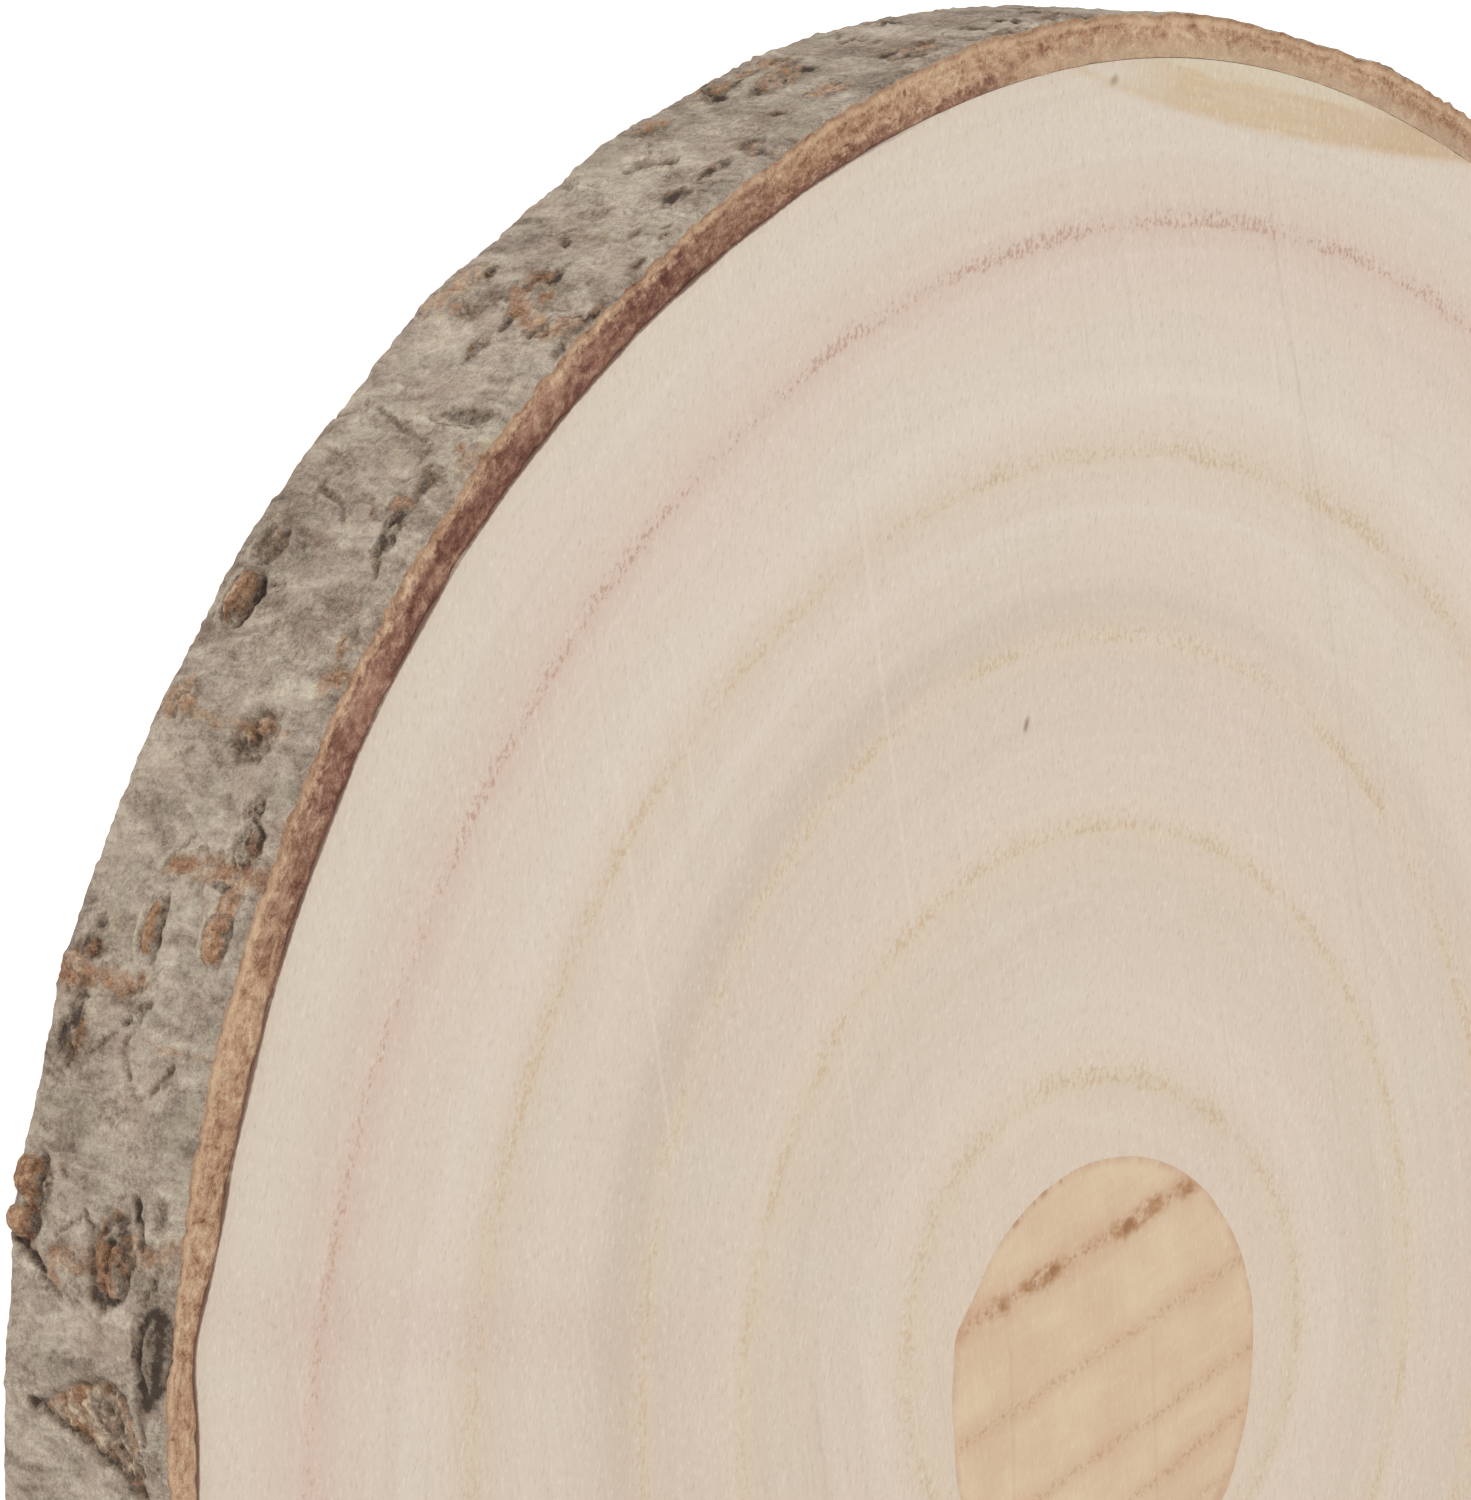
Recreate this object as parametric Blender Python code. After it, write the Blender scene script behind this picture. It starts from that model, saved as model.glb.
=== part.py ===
"""Wood slice: a sanded cross cut of a young trunk with its bark left on, and a round wooden plug in the pith.

Metres, +Z up. The slice lies flat on its sawn underside, and the origin is at the bottom centre of its
bounding box. Directions are in degrees round +Z from +X, seen from the middle of the slice.
"""

import math
import random

import bmesh
import bpy

MM = 0.001

# Driving dimensions, in millimetres.
THICKNESS = 16.8
WOOD_RADIUS = 95.95
BARK_RADIUS = 99.4
PLUG_DIAMETER = 35.0
PITH = (5.15, -2.65)
GAP = 0.3

# The trunk isn't quite round: each wave is (lobes, swell in mm, direction of one crest).
WOOD_WAVES = ((2, 0.35, 57), (3, 0.14, 93), (5, 0.45, 53), (7, 0.33, 34))
BARK_WAVES = ((2, 0.70, 58), (3, 0.36, 103), (5, 0.60, 49), (7, 0.12, 40))

# A small branch once left the wood here, which pushes the wood's rim out a little.
BRANCH_DIRECTION = 274.2
BRANCH_SWELL = 1.0
BRANCH_SPREAD = 2.6

# Facets.
RIM_STEPS = 360
WALL_ROWS = 12
PLUG_STEPS = 96

# Corky bumps on the bark: direction, height on the wall, width, height of the bump, and how far it stands out.
BUMPS = (
    (271.0, 10.2, 6.2, 4.6, 0.6),
    (270.3, 1.2, 2.6, 2.6, 0.9),
    (268.3, 1.2, 2.6, 2.6, 0.9),
    (263.0, 2.6, 4.0, 2.6, 0.6),
    (259.3, 2.0, 4.2, 2.6, 0.7),
    (257.9, 14.3, 4.0, 2.6, 0.7),
    (257.9, 8.0, 4.0, 2.4, 0.5),
    (253.4, 14.2, 5.0, 2.4, 0.5),
    (249.6, 10.6, 4.0, 3.8, 0.6),
    (248.6, 1.6, 3.6, 3.0, 0.6),
    (243.7, 2.9, 4.2, 3.2, 0.9),
    (239.6, 13.8, 5.4, 2.4, 0.5),
    (228.4, 15.0, 4.6, 3.0, 0.6),
    (226.2, 9.0, 5.4, 3.2, 0.6),
    (226.6, 1.8, 5.4, 3.2, 0.8),
    (216.6, 13.0, 5.0, 2.4, 0.5),
    (214.2, 2.8, 3.4, 2.6, 0.5),
    (208.3, 6.0, 4.4, 3.0, 0.6),
    (204.4, 14.0, 4.0, 3.0, 0.5),
)

# Scars pressed into the bark, in the same order: an eye-shaped slit under the rim and a pointed tear beside it.
SCARS = (
    (274.6, 15.8, 6.6, 2.6, -0.7),
    (278.2, 11.0, 5.0, 5.0, -0.5),
    (277.5, 6.0, 2.6, 5.0, -0.4),
)

# The far side carries bumps of the same kind, scattered.
SCATTER_SEED = 11
SCATTER_COUNT = 62
SCATTER_FROM = 284
SCATTER_TO = 558

# Broad, shallow unevenness of the bark wall.
UNEVEN_WAVES = 9
UNEVEN_SEED = 4
UNEVEN_DEPTH = 0.16

COLOURS = {
    "wood": (0.68, 0.60, 0.50),
    "bark": (0.33, 0.28, 0.23),
    "plug": (0.65, 0.47, 0.31),
}
ROUGHNESS = {"wood": 0.62, "bark": 0.9, "plug": 0.6}


def clear_scene():
    """Removes whatever the file holds."""
    for obj in list(bpy.data.objects):
        bpy.data.objects.remove(obj, do_unlink=True)


def material(name):
    """A plain principled material in the sub-part's colour."""
    made = bpy.data.materials.new(name)
    made.use_nodes = True
    shader = made.node_tree.nodes["Principled BSDF"]
    shader.inputs["Base Color"].default_value = (*COLOURS[name], 1.0)
    shader.inputs["Roughness"].default_value = ROUGHNESS[name]
    shader.inputs["Metallic"].default_value = 0.0
    return made


def collection(name):
    """A collection linked to the scene."""
    made = bpy.data.collections.new(name)
    bpy.context.scene.collection.children.link(made)
    return made


def angle_between(a, b):
    """Degrees from b to a, between -180 and 180."""
    return (a - b + 180) % 360 - 180


def wavy(radius, waves, direction):
    """A radius with the trunk's lobes on it."""
    return radius + sum(swell * math.cos(lobes * math.radians(direction - crest)) for lobes, swell, crest in waves)


def rim_radius(direction):
    """Where the wood ends and the bark begins."""
    branch = BRANCH_SWELL * math.exp(-((angle_between(direction, BRANCH_DIRECTION) / BRANCH_SPREAD) ** 2))
    return wavy(WOOD_RADIUS, WOOD_WAVES, direction) + branch


def scattered_bumps():
    """Bumps for the side that faces away, of the same sizes as the others."""
    rng = random.Random(SCATTER_SEED)
    return [
        (
            rng.uniform(SCATTER_FROM, SCATTER_TO) % 360,
            rng.uniform(1.5, THICKNESS - 2.0),
            rng.uniform(3.0, 6.0),
            rng.uniform(2.4, 4.2),
            rng.uniform(0.35, 0.85),
        )
        for _ in range(SCATTER_COUNT)
    ]


def uneven_waves():
    """Slow waves that run along the wall, each with its own slant."""
    rng = random.Random(UNEVEN_SEED)
    return [(rng.randint(11, 60), rng.uniform(-0.12, 0.12), rng.uniform(0, 2 * math.pi)) for _ in range(UNEVEN_WAVES)]


def bark_radius(direction, height, marks, waves):
    """The outer face of the bark at one direction and height."""
    radius = wavy(BARK_RADIUS, BARK_WAVES, direction)
    for lobes, slant, phase in waves:
        radius += UNEVEN_DEPTH / 2 * math.sin(lobes * math.radians(direction) + slant * height + phase)
    for where, level, width, tall, rise in marks:
        across = angle_between(direction, where) * math.radians(1) * BARK_RADIUS / (width / 2)
        up = (height - level) / (tall / 2)
        if abs(across) < 3 and abs(up) < 3:
            radius += rise * math.exp(-(across**2) - up**2)
    return radius


def smooth_mesh(name, bm):
    """The bmesh as a mesh, shaded smooth up to its sawn edges."""
    mesh = bpy.data.meshes.new(name)
    bm.to_mesh(mesh)
    bm.free()
    mesh.shade_smooth()
    mesh.set_sharp_from_angle(angle=math.radians(50))
    return mesh


def curve_solid(name, outlines):
    """A flat curve, one closed line for each outline, extruded to the slice's thickness."""
    curve = bpy.data.curves.new(name, "CURVE")
    curve.dimensions = "2D"
    curve.fill_mode = "BOTH"
    curve.extrude = THICKNESS * MM / 2
    for outline in outlines:
        spline = curve.splines.new("POLY")
        spline.points.add(len(outline) - 1)
        for point, (x, y) in zip(spline.points, outline):
            point.co = (x * MM, y * MM, 0, 1)
        spline.use_cyclic_u = True
    obj = bpy.data.objects.new(name, curve)
    obj.location.z = THICKNESS * MM / 2
    return obj


def around(steps, radius_at, middle=(0, 0)):
    """Points round a middle, at the radius that radius_at gives for each direction."""
    points = []
    for step in range(steps):
        direction = 360 * step / steps
        turn = math.radians(direction)
        radius = radius_at(direction)
        points.append((middle[0] + radius * math.cos(turn), middle[1] + radius * math.sin(turn)))
    return points


def make_wood():
    """The disc of wood, bored through for the plug."""
    rim = around(RIM_STEPS, lambda direction: rim_radius(direction) - GAP / 2)
    hole = around(PLUG_STEPS, lambda direction: PLUG_DIAMETER / 2 + GAP, PITH)
    return curve_solid("wood", [rim, hole])


def make_plug():
    """The round plug that fills the pith, sanded flush with both faces."""
    bm = bmesh.new()
    bmesh.ops.create_cone(
        bm,
        cap_ends=True,
        segments=PLUG_STEPS,
        radius1=PLUG_DIAMETER / 2 * MM,
        radius2=PLUG_DIAMETER / 2 * MM,
        depth=THICKNESS * MM,
    )
    obj = bpy.data.objects.new("plug", smooth_mesh("plug", bm))
    obj.location = (PITH[0] * MM, PITH[1] * MM, THICKNESS * MM / 2)
    return obj


def bark_section(row, direction, marks, waves):
    """Radius and height of one corner of the bark's cross section: up the outer wall, then down the inner one."""
    if row <= WALL_ROWS:
        height = THICKNESS * row / WALL_ROWS
        return bark_radius(direction, height, marks, waves), height
    inner = rim_radius(direction) + GAP / 2
    return inner, THICKNESS if row == WALL_ROWS + 1 else 0


def make_bark():
    """The ring of bark: a grid bent round the trunk and closed on itself both ways."""
    marks = list(BUMPS) + list(SCARS) + scattered_bumps()
    waves = uneven_waves()
    rows = WALL_ROWS + 3
    bm = bmesh.new()
    bmesh.ops.create_grid(bm, x_segments=RIM_STEPS, y_segments=rows, size=0.5)
    for vertex in bm.verts:
        direction = 360 * (round((vertex.co.x + 0.5) * RIM_STEPS) % RIM_STEPS) / RIM_STEPS
        row = round((vertex.co.y + 0.5) * rows) % rows
        radius, height = bark_section(row, direction, marks, waves)
        turn = math.radians(direction)
        vertex.co = (radius * MM * math.cos(turn), radius * MM * math.sin(turn), height * MM)
    bmesh.ops.remove_doubles(bm, verts=bm.verts, dist=1e-6)
    bmesh.ops.recalc_face_normals(bm, faces=bm.faces)
    return bpy.data.objects.new("bark", smooth_mesh("bark", bm))


def footprint_middle(mesh):
    """The middle of a mesh's bounding box, seen from above."""
    xs = [vertex.co.x for vertex in mesh.vertices]
    ys = [vertex.co.y for vertex in mesh.vertices]
    return (min(xs) + max(xs)) / 2, (min(ys) + max(ys)) / 2


def main():
    clear_scene()
    slice_parts = collection("wood_slice")
    bark = make_bark()
    middle = footprint_middle(bark.data)
    for obj in (make_wood(), bark, make_plug()):
        obj.data.materials.append(material(obj.name))
        obj.location.x -= middle[0]
        obj.location.y -= middle[1]
        slice_parts.objects.link(obj)


main()
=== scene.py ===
"""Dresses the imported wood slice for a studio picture: bark relief, growth rings and the plug's grain."""

import math

import bpy
import numpy as np
from mathutils import Matrix, Vector


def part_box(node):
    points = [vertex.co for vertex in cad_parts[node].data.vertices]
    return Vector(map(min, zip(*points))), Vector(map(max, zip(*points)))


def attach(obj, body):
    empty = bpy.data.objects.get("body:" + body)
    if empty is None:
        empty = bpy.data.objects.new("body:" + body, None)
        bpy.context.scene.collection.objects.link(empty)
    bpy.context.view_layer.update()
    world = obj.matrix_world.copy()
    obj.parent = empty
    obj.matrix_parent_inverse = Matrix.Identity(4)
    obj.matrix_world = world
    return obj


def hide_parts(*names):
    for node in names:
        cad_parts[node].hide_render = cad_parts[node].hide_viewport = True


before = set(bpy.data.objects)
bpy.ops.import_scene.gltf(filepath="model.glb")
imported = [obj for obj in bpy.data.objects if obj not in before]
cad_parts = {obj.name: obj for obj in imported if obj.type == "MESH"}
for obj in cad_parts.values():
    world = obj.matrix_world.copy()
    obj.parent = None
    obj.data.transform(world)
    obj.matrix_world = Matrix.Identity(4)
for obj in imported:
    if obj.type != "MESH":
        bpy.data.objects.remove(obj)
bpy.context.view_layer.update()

MM = 0.001

# The slice, in millimetres and degrees round +Z. The solids have the same shape, with a bark 0.05 mm thinner.
THICKNESS = 16.8
WOOD_RADIUS = 95.95
BARK_RADIUS = 99.45
PLUG_RADIUS = 17.5
PITH_FROM_MIDDLE = np.array([5.15, -2.65])
WOOD_WAVES = ((2, 0.35, 57), (3, 0.14, 93), (5, 0.45, 53), (7, 0.33, 34))
BARK_WAVES = ((2, 0.70, 58), (3, 0.36, 103), (5, 0.60, 49), (7, 0.12, 40))
BRANCH_DIRECTION = 274.2
BRANCH_SWELL = 1.0
BRANCH_SPREAD = 2.6

# Growth rings, seen from the pith: mean radius, then its waves (lobes, swell, crest).
RINGS = (
    (21.6, ((1, 2.4, 191), (2, 0.86, 61), (3, 0.60, 115))),
    (38.1, ((1, 4.4, 218), (2, 0.75, 30), (3, 0.35, 80))),
    (48.9, ((1, 6.8, 210), (2, 1.46, 26), (3, 0.92, 82))),
    (64.4, ((1, 6.3, 214), (2, 0.66, 25), (3, 0.57, 64))),
    (82.4, ((1, 5.0, 188), (2, 0.85, 168), (3, 0.93, 52))),
)

PITH = np.array([sum(c) / 2 / MM for c in list(zip(*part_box("plug")))[:2]])
MIDDLE = PITH - PITH_FROM_MIDDLE
BARK_DEGREE = math.radians(1) * BARK_RADIUS  # millimetres of wall in one degree


# Numbers on rings

def smooth(low, high, x):
    """0 below low, 1 above high, and an even slope between."""
    t = np.clip((np.asarray(x, float) - low) / (high - low), 0, 1)
    return t * t * (3 - 2 * t)


def bell(x, middle, width):
    """1 at the middle, dying away to either side."""
    return np.exp(-(((x - middle) / width) ** 2))


def most(*masks):
    """The strongest of several masks at each point."""
    return np.maximum.reduce(np.broadcast_arrays(*masks))


def apart(a, b):
    """Degrees from b to a, between -180 and 180."""
    return (np.asarray(a, float) - b + 180) % 360 - 180


def wavy(radius, waves, direction):
    out = radius + 0.0 * direction
    for lobes, swell, crest in waves:
        out = out + swell * np.cos(lobes * np.radians(direction - crest))
    return out


def rim_radius(direction):
    """Where the wood ends, from the middle of the slice."""
    branch = BRANCH_SWELL * bell(apart(direction, BRANCH_DIRECTION), 0, BRANCH_SPREAD)
    return wavy(WOOD_RADIUS, WOOD_WAVES, direction) + branch


def rim_from_pith(direction):
    """Where the wood ends, from the pith, found by stepping to the rim."""
    turn = np.radians(direction)
    reach = WOOD_RADIUS + 0.0 * turn
    for _ in range(12):
        x = PITH_FROM_MIDDLE[0] + reach * np.cos(turn)
        y = PITH_FROM_MIDDLE[1] + reach * np.sin(turn)
        reach = reach * rim_radius(np.degrees(np.arctan2(y, x))) / np.hypot(x, y)
    return reach


MANY_CELLS = 4096  # noise that is used over one mark only needn't repeat


def noise(x, y, seed, cells_x=MANY_CELLS):
    """Smooth noise between -1 and 1 that repeats every cells_x cells along x."""
    ix, iy = np.floor(x).astype(np.int64), np.floor(y).astype(np.int64)
    fx, fy = x - ix, y - iy
    fx, fy = fx * fx * (3 - 2 * fx), fy * fy * (3 - 2 * fy)

    def corner(i, j):
        n = (i % cells_x) * 374761393 + j * 668265263 + seed * 974634777
        n = (n ^ (n >> 13)) * 1274126177
        return ((n ^ (n >> 16)) & 65535) / 32767.5 - 1

    below = corner(ix, iy) * (1 - fx) + corner(ix + 1, iy) * fx
    above = corner(ix, iy + 1) * (1 - fx) + corner(ix + 1, iy + 1) * fx
    return below * (1 - fy) + above * fy


def round_noise(direction, up, turns, seed):
    """Noise with so many cells in a whole turn."""
    return noise(direction / 360 * turns, up, seed, turns)


# Meshes

def make_object(name, points, faces, material, sharp):
    """A smooth mesh object from points in millimetres, with edges sharper than so many degrees kept."""
    mesh = bpy.data.meshes.new(name)
    mesh.from_pydata((np.asarray(points) * MM).tolist(), [], faces)
    mesh.validate()
    mesh.update()
    obj = bpy.data.objects.new(name, mesh)
    bpy.context.scene.collection.objects.link(obj)
    mesh.materials.append(material)
    mesh.shade_smooth()
    mesh.set_sharp_from_angle(angle=math.radians(sharp))
    return obj


def around(centre, direction, radius, height):
    """Points at so many degrees and millimetres round a centre, one row of them for each direction."""
    turn = np.radians(direction)[:, None]
    x, y = centre[0] + radius * np.cos(turn), centre[1] + radius * np.sin(turn)
    return np.stack([x, y, height], -1).reshape(-1, 3)


def mark(obj, name, values):
    """Stores one number for each point, for the material to read."""
    layer = obj.data.attributes.new(name, "FLOAT", "POINT")
    layer.data.foreach_set("value", np.asarray(values, np.float32).ravel())


def closed_strip(columns, rows, wrap_rows=True, turned=False):
    """Quads over a grid of points that closes on itself along its columns, and along its rows where asked."""
    c, r = np.meshgrid(np.arange(columns), np.arange(rows if wrap_rows else rows - 1), indexing="ij")
    here, after, above = c * rows, (c + 1) % columns * rows, (r + 1) % rows
    quads = np.stack([here + r, after + r, after + above, here + above], -1).reshape(-1, 4)
    return (quads[:, ::-1] if turned else quads).tolist()


# Camera

TILT = math.radians(45.94)
LEAN = math.radians(8.28)
EYE = (-28.4, 48.5, 595.6)  # from the middle of the plug's upper face: right, up and nearer in the picture
FOCAL = 186.3


def to_world(right, up, near):
    """A direction in the picture's axes, turned into the slice's own."""
    u = Vector((math.cos(LEAN) * math.cos(TILT), -math.sin(LEAN) * math.cos(TILT), -math.sin(TILT)))
    v = Vector((math.sin(LEAN), math.cos(LEAN), 0))
    n = u.cross(v)
    w = Vector((right, up, near))
    return Vector((-w.dot(v), w.dot(u), w.dot(n)))


def make_camera():
    data = bpy.data.cameras.new("camera")
    data.sensor_fit = "VERTICAL"
    data.sensor_width = data.sensor_height = 36
    data.lens = FOCAL
    data.clip_start = 0.01
    camera = bpy.data.objects.new("camera", data)
    axes = Matrix((to_world(1, 0, 0), to_world(0, 1, 0), to_world(0, 0, 1))).transposed()
    place = Vector((PITH[0], PITH[1], THICKNESS)) + to_world(*EYE)
    camera.matrix_world = Matrix.Translation(place * MM) @ axes.to_4x4()
    bpy.context.scene.collection.objects.link(camera)
    bpy.context.scene.camera = camera


# Bark features on the wall

CORK, SLIT, PIT, SCAR = "cork", "slit", "pit", "scar"
SMUDGE, LIPS, SHADE, RUST = "smudge", "lips", "shade", "rust"

# Marks of each kind: direction, height, width, tall, rise, how dark.
MARKS = {
    LIPS: (
        (274.55, 15.4, 7.6, 3.3, 0.45, 1.3),
    ),
    SMUDGE: (
        (278.6, 15.4, 2.6, 2.6, 0.2, 0.55), (279.9, 14.4, 1.6, 2, 0.15, 0.9),
        (277, 15, 2.4, 0.8, 0.1, 0.7), (270.6, 10.2, 1.9, 1.4, -0.1, 0.9),
        (269.2, 3.1, 4.2, 1.3, 0.1, 0.9), (268.9, 14.8, 2.6, 2.4, 0.2, 0.6),
        (268, 4.6, 1.5, 1.1, 0.1, 0.8), (262.3, 3.1, 6.2, 2.6, 0.35, 1.02), (261, 3, 3, 1.5, 0.1, 0.85),
        (263.7, 2.9, 1.6, 1.6, 0.1, 0.8), (262.7, 1.9, 3.2, 2.2, 0.25, 0.95),
        (258.8, 2.8, 4.2, 2.2, 0.35, 1), (259.2, 1.6, 1.6, 1.2, 0.15, 0.6),
        (260.1, 8.2, 1.8, 1.1, 0.15, 0.7), (261.2, 7.4, 1.2, 1.6, 0.1, 0.5),
        (255.9, 13.4, 1, 3, 0.05, 0.7), (254.3, 14.3, 3.4, 2.6, 0, 0.45), (253.9, 15.3, 3.2, 0.7, 0, 0.6),
        (249.6, 11, 0.7, 0.6, -0.15, 1.3), (245.1, 15.3, 3, 2.4, 0.2, 0.55),
        (243.5, 6.6, 1.9, 1.4, 0, 0.45), (243.4, 4.9, 4.2, 1.2, -0.05, 0.5),
        (241.2, 1.9, 3, 0.9, 0.3, 0.8), (239.9, 13.6, 3.8, 2.2, 0.35, 1.1), (239, 13, 1.6, 1.6, 0.15, 0.7),
        (237.2, 13.9, 3.6, 1.8, 0.35, 0.75), (236.6, 13.1, 1.2, 1.4, 0.2, 0.8),
        (238.9, 10.3, 1.3, 1, 0, 0.7), (229.5, 16.3, 2.2, 0.8, 0, 0.8), (227.4, 16.3, 2.4, 0.9, 0, 1),
        (229.8, 8.6, 3.8, 2, 0.3, 0.8), (225.7, 8.6, 2.6, 2.2, 0, 0.6), (225.6, 10, 4.6, 1.2, 0.1, 0.95),
        (226.6, 10.6, 3.2, 1.6, 0.1, 0.45), (227.1, 6.5, 1.6, 1, 0.05, 0.9),
        (225.6, 3.5, 2.6, 1.2, 0.05, 0.9), (224, 15.9, 1.8, 1.2, 0.1, 0.8),
        (222, 15.8, 1.6, 0.8, 0.1, 0.7), (221.3, 14.9, 1, 1.2, 0.05, 0.7),
        (222.2, 12.9, 2, 0.9, 0.1, 0.75), (219.3, 12.9, 3, 2.8, 0.3, 1.1), (217, 12.9, 4.2, 2, 0.25, 0.85),
        (215.3, 14.6, 1.6, 3.6, 0.1, 0.8), (214.7, 12.8, 3, 2.4, -0.1, 0.65),
        (212, 11.7, 1.5, 1.4, -0.1, 0.8), (214.9, 3, 1.8, 2, 0.2, 0.6), (210.8, 3.2, 2.2, 2.6, -0.1, 1.1),
        (210, 6.4, 2.6, 2.6, 0.2, 0.8), (207.4, 7.4, 2.2, 1.4, 0.15, 1), (205, 14.8, 2, 1.6, 0.15, 0.9),
        (203.2, 12.4, 2.6, 2.2, 0.2, 0.7), (204.7, 11, 1.8, 1.6, -0.15, 0.9),
        (203.1, 4.8, 1.6, 2.4, -0.1, 0.9), (203.1, 7.4, 2.4, 2, 0.1, 0.5),
        (200.2, 12.3, 1.6, 2.8, 0.1, 0.9), (198.6, 13.6, 1.8, 3, 0.2, 1), (200, 3.6, 2.4, 3.4, 0.2, 0.8),
        (200.6, 15.8, 5.6, 2.6, 0, 0.6), (196.6, 15.4, 4.8, 3.4, 0.1, 0.6),
        (196, 12.6, 2.2, 4.4, 0.4, 0.8), (194.4, 8.6, 2, 3.4, 0.3, 0.8),
    ),
    SCAR: (
        (270.9, 10.4, 6.5, 4.4, 0.45, 1), (263.2, 10.8, 5, 4.8, 0.06, 0.55),
        (249.6, 10.6, 4.5, 4, 0.32, 0.7),
    ),
    CORK: (
        (270.25, 1, 2.2, 2.5, 0.95, 0.85), (268.4, 1.1, 2.8, 2.7, 0.9, 0.85),
        (269.3, 1.9, 1.8, 1.5, 0.45, 0.6), (257.9, 7.6, 4, 1.7, 0.45, 0.85),
        (257.9, 14.2, 3.6, 2.1, 0.55, 0.55), (256.5, 14.5, 2.2, 1.8, 0.2, 0.2),
        (249.6, 10.7, 1.6, 1.4, 0.15, 0.3), (243.7, 2.7, 4, 2.2, 0.65, 1.25),
        (238.5, 13, 1.3, 2.6, 0.2, 0.5),
    ),
    RUST: (
        (260.2, 1.4, 3.4, 3.6, 0.6, 0.7), (248.6, 1.8, 3.8, 3.4, 0.5, 0.8),
        (246.8, 15.4, 3.8, 2.8, 0.3, 0.5), (228.4, 15, 3.4, 3, 0.4, 0.9), (228.7, 12.9, 2, 1.8, 0.15, 0.8),
        (225.7, 8.4, 3.4, 3.2, 0.5, 1), (226.8, 1.8, 6.6, 3.6, 0.6, 0.45), (228, 4.4, 2.2, 3.4, 0.25, 0.9),
        (214.2, 2.3, 3.4, 3, 0.25, 0.8), (210, 1.9, 4, 3.4, 0.45, 1.1), (208.4, 6.2, 5.6, 4.2, 0.35, 0.8),
        (206.9, 3.3, 3, 4.4, 0.35, 1), (208.3, 2.3, 2.4, 2, 0.2, 0.9), (209.2, 12.4, 4.6, 4.4, 0.15, 0.7),
        (204.4, 13.5, 4.4, 4.2, 0.3, 1), (174.9, 15.2, 4.2, 3.4, 0.6, 0.8),
    ),
    SLIT: (
        (254.2, 14.3, 3.2, 2.6, 0.35, 1.15), (252.7, 13.8, 1.9, 1.8, 0.45, 0.9),
        (241.2, 2.7, 3.4, 2.4, 0.3, 0.85),
    ),
    PIT: (
        (233.6, 12.3, 2.4, 7.4, -0.28, 0.72), (234.5, 7.4, 1.4, 5.2, -0.16, 0.36),
        (216.8, 5.8, 1, 2.4, -0.2, 0.5),
    ),
    SHADE: (
        (245.2, 9.6, 9, 13, 0, 0.34), (237.5, 4, 7, 6, 0, 0.2), (226.6, 10.4, 6, 6, 0, 0.36),
        (230.6, 10.6, 3.4, 4, 0, 0.26), (219.6, 4.6, 6, 6, 0, 0.28), (211, 8, 9, 14, 0, 0.3),
        (257.4, 4, 9, 7, 0, 0.2), (263, 10.6, 6, 7, 0, 0.2), (278.8, 8, 5, 12, 0, 0.22),
        (266.2, 8.6, 6, 14, 0, -0.5), (226.9, 5.2, 3.6, 3.4, 0, 0.4), (229, 11, 8, 9, 0, 0.22),
        (221, 12, 9, 9, 0, 0.2), (204, 10, 9, 15, 0, 0.34), (198, 10, 12, 18, 0, 0.42),
        (213, 11, 9, 12, 0, 0.26), (255, 15, 9, 6, 0, 0.3), (240, 2.6, 7, 4, 0, 0.32),
        (244, 5.6, 6, 4, 0, 0.34),
    ),
}

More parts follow.
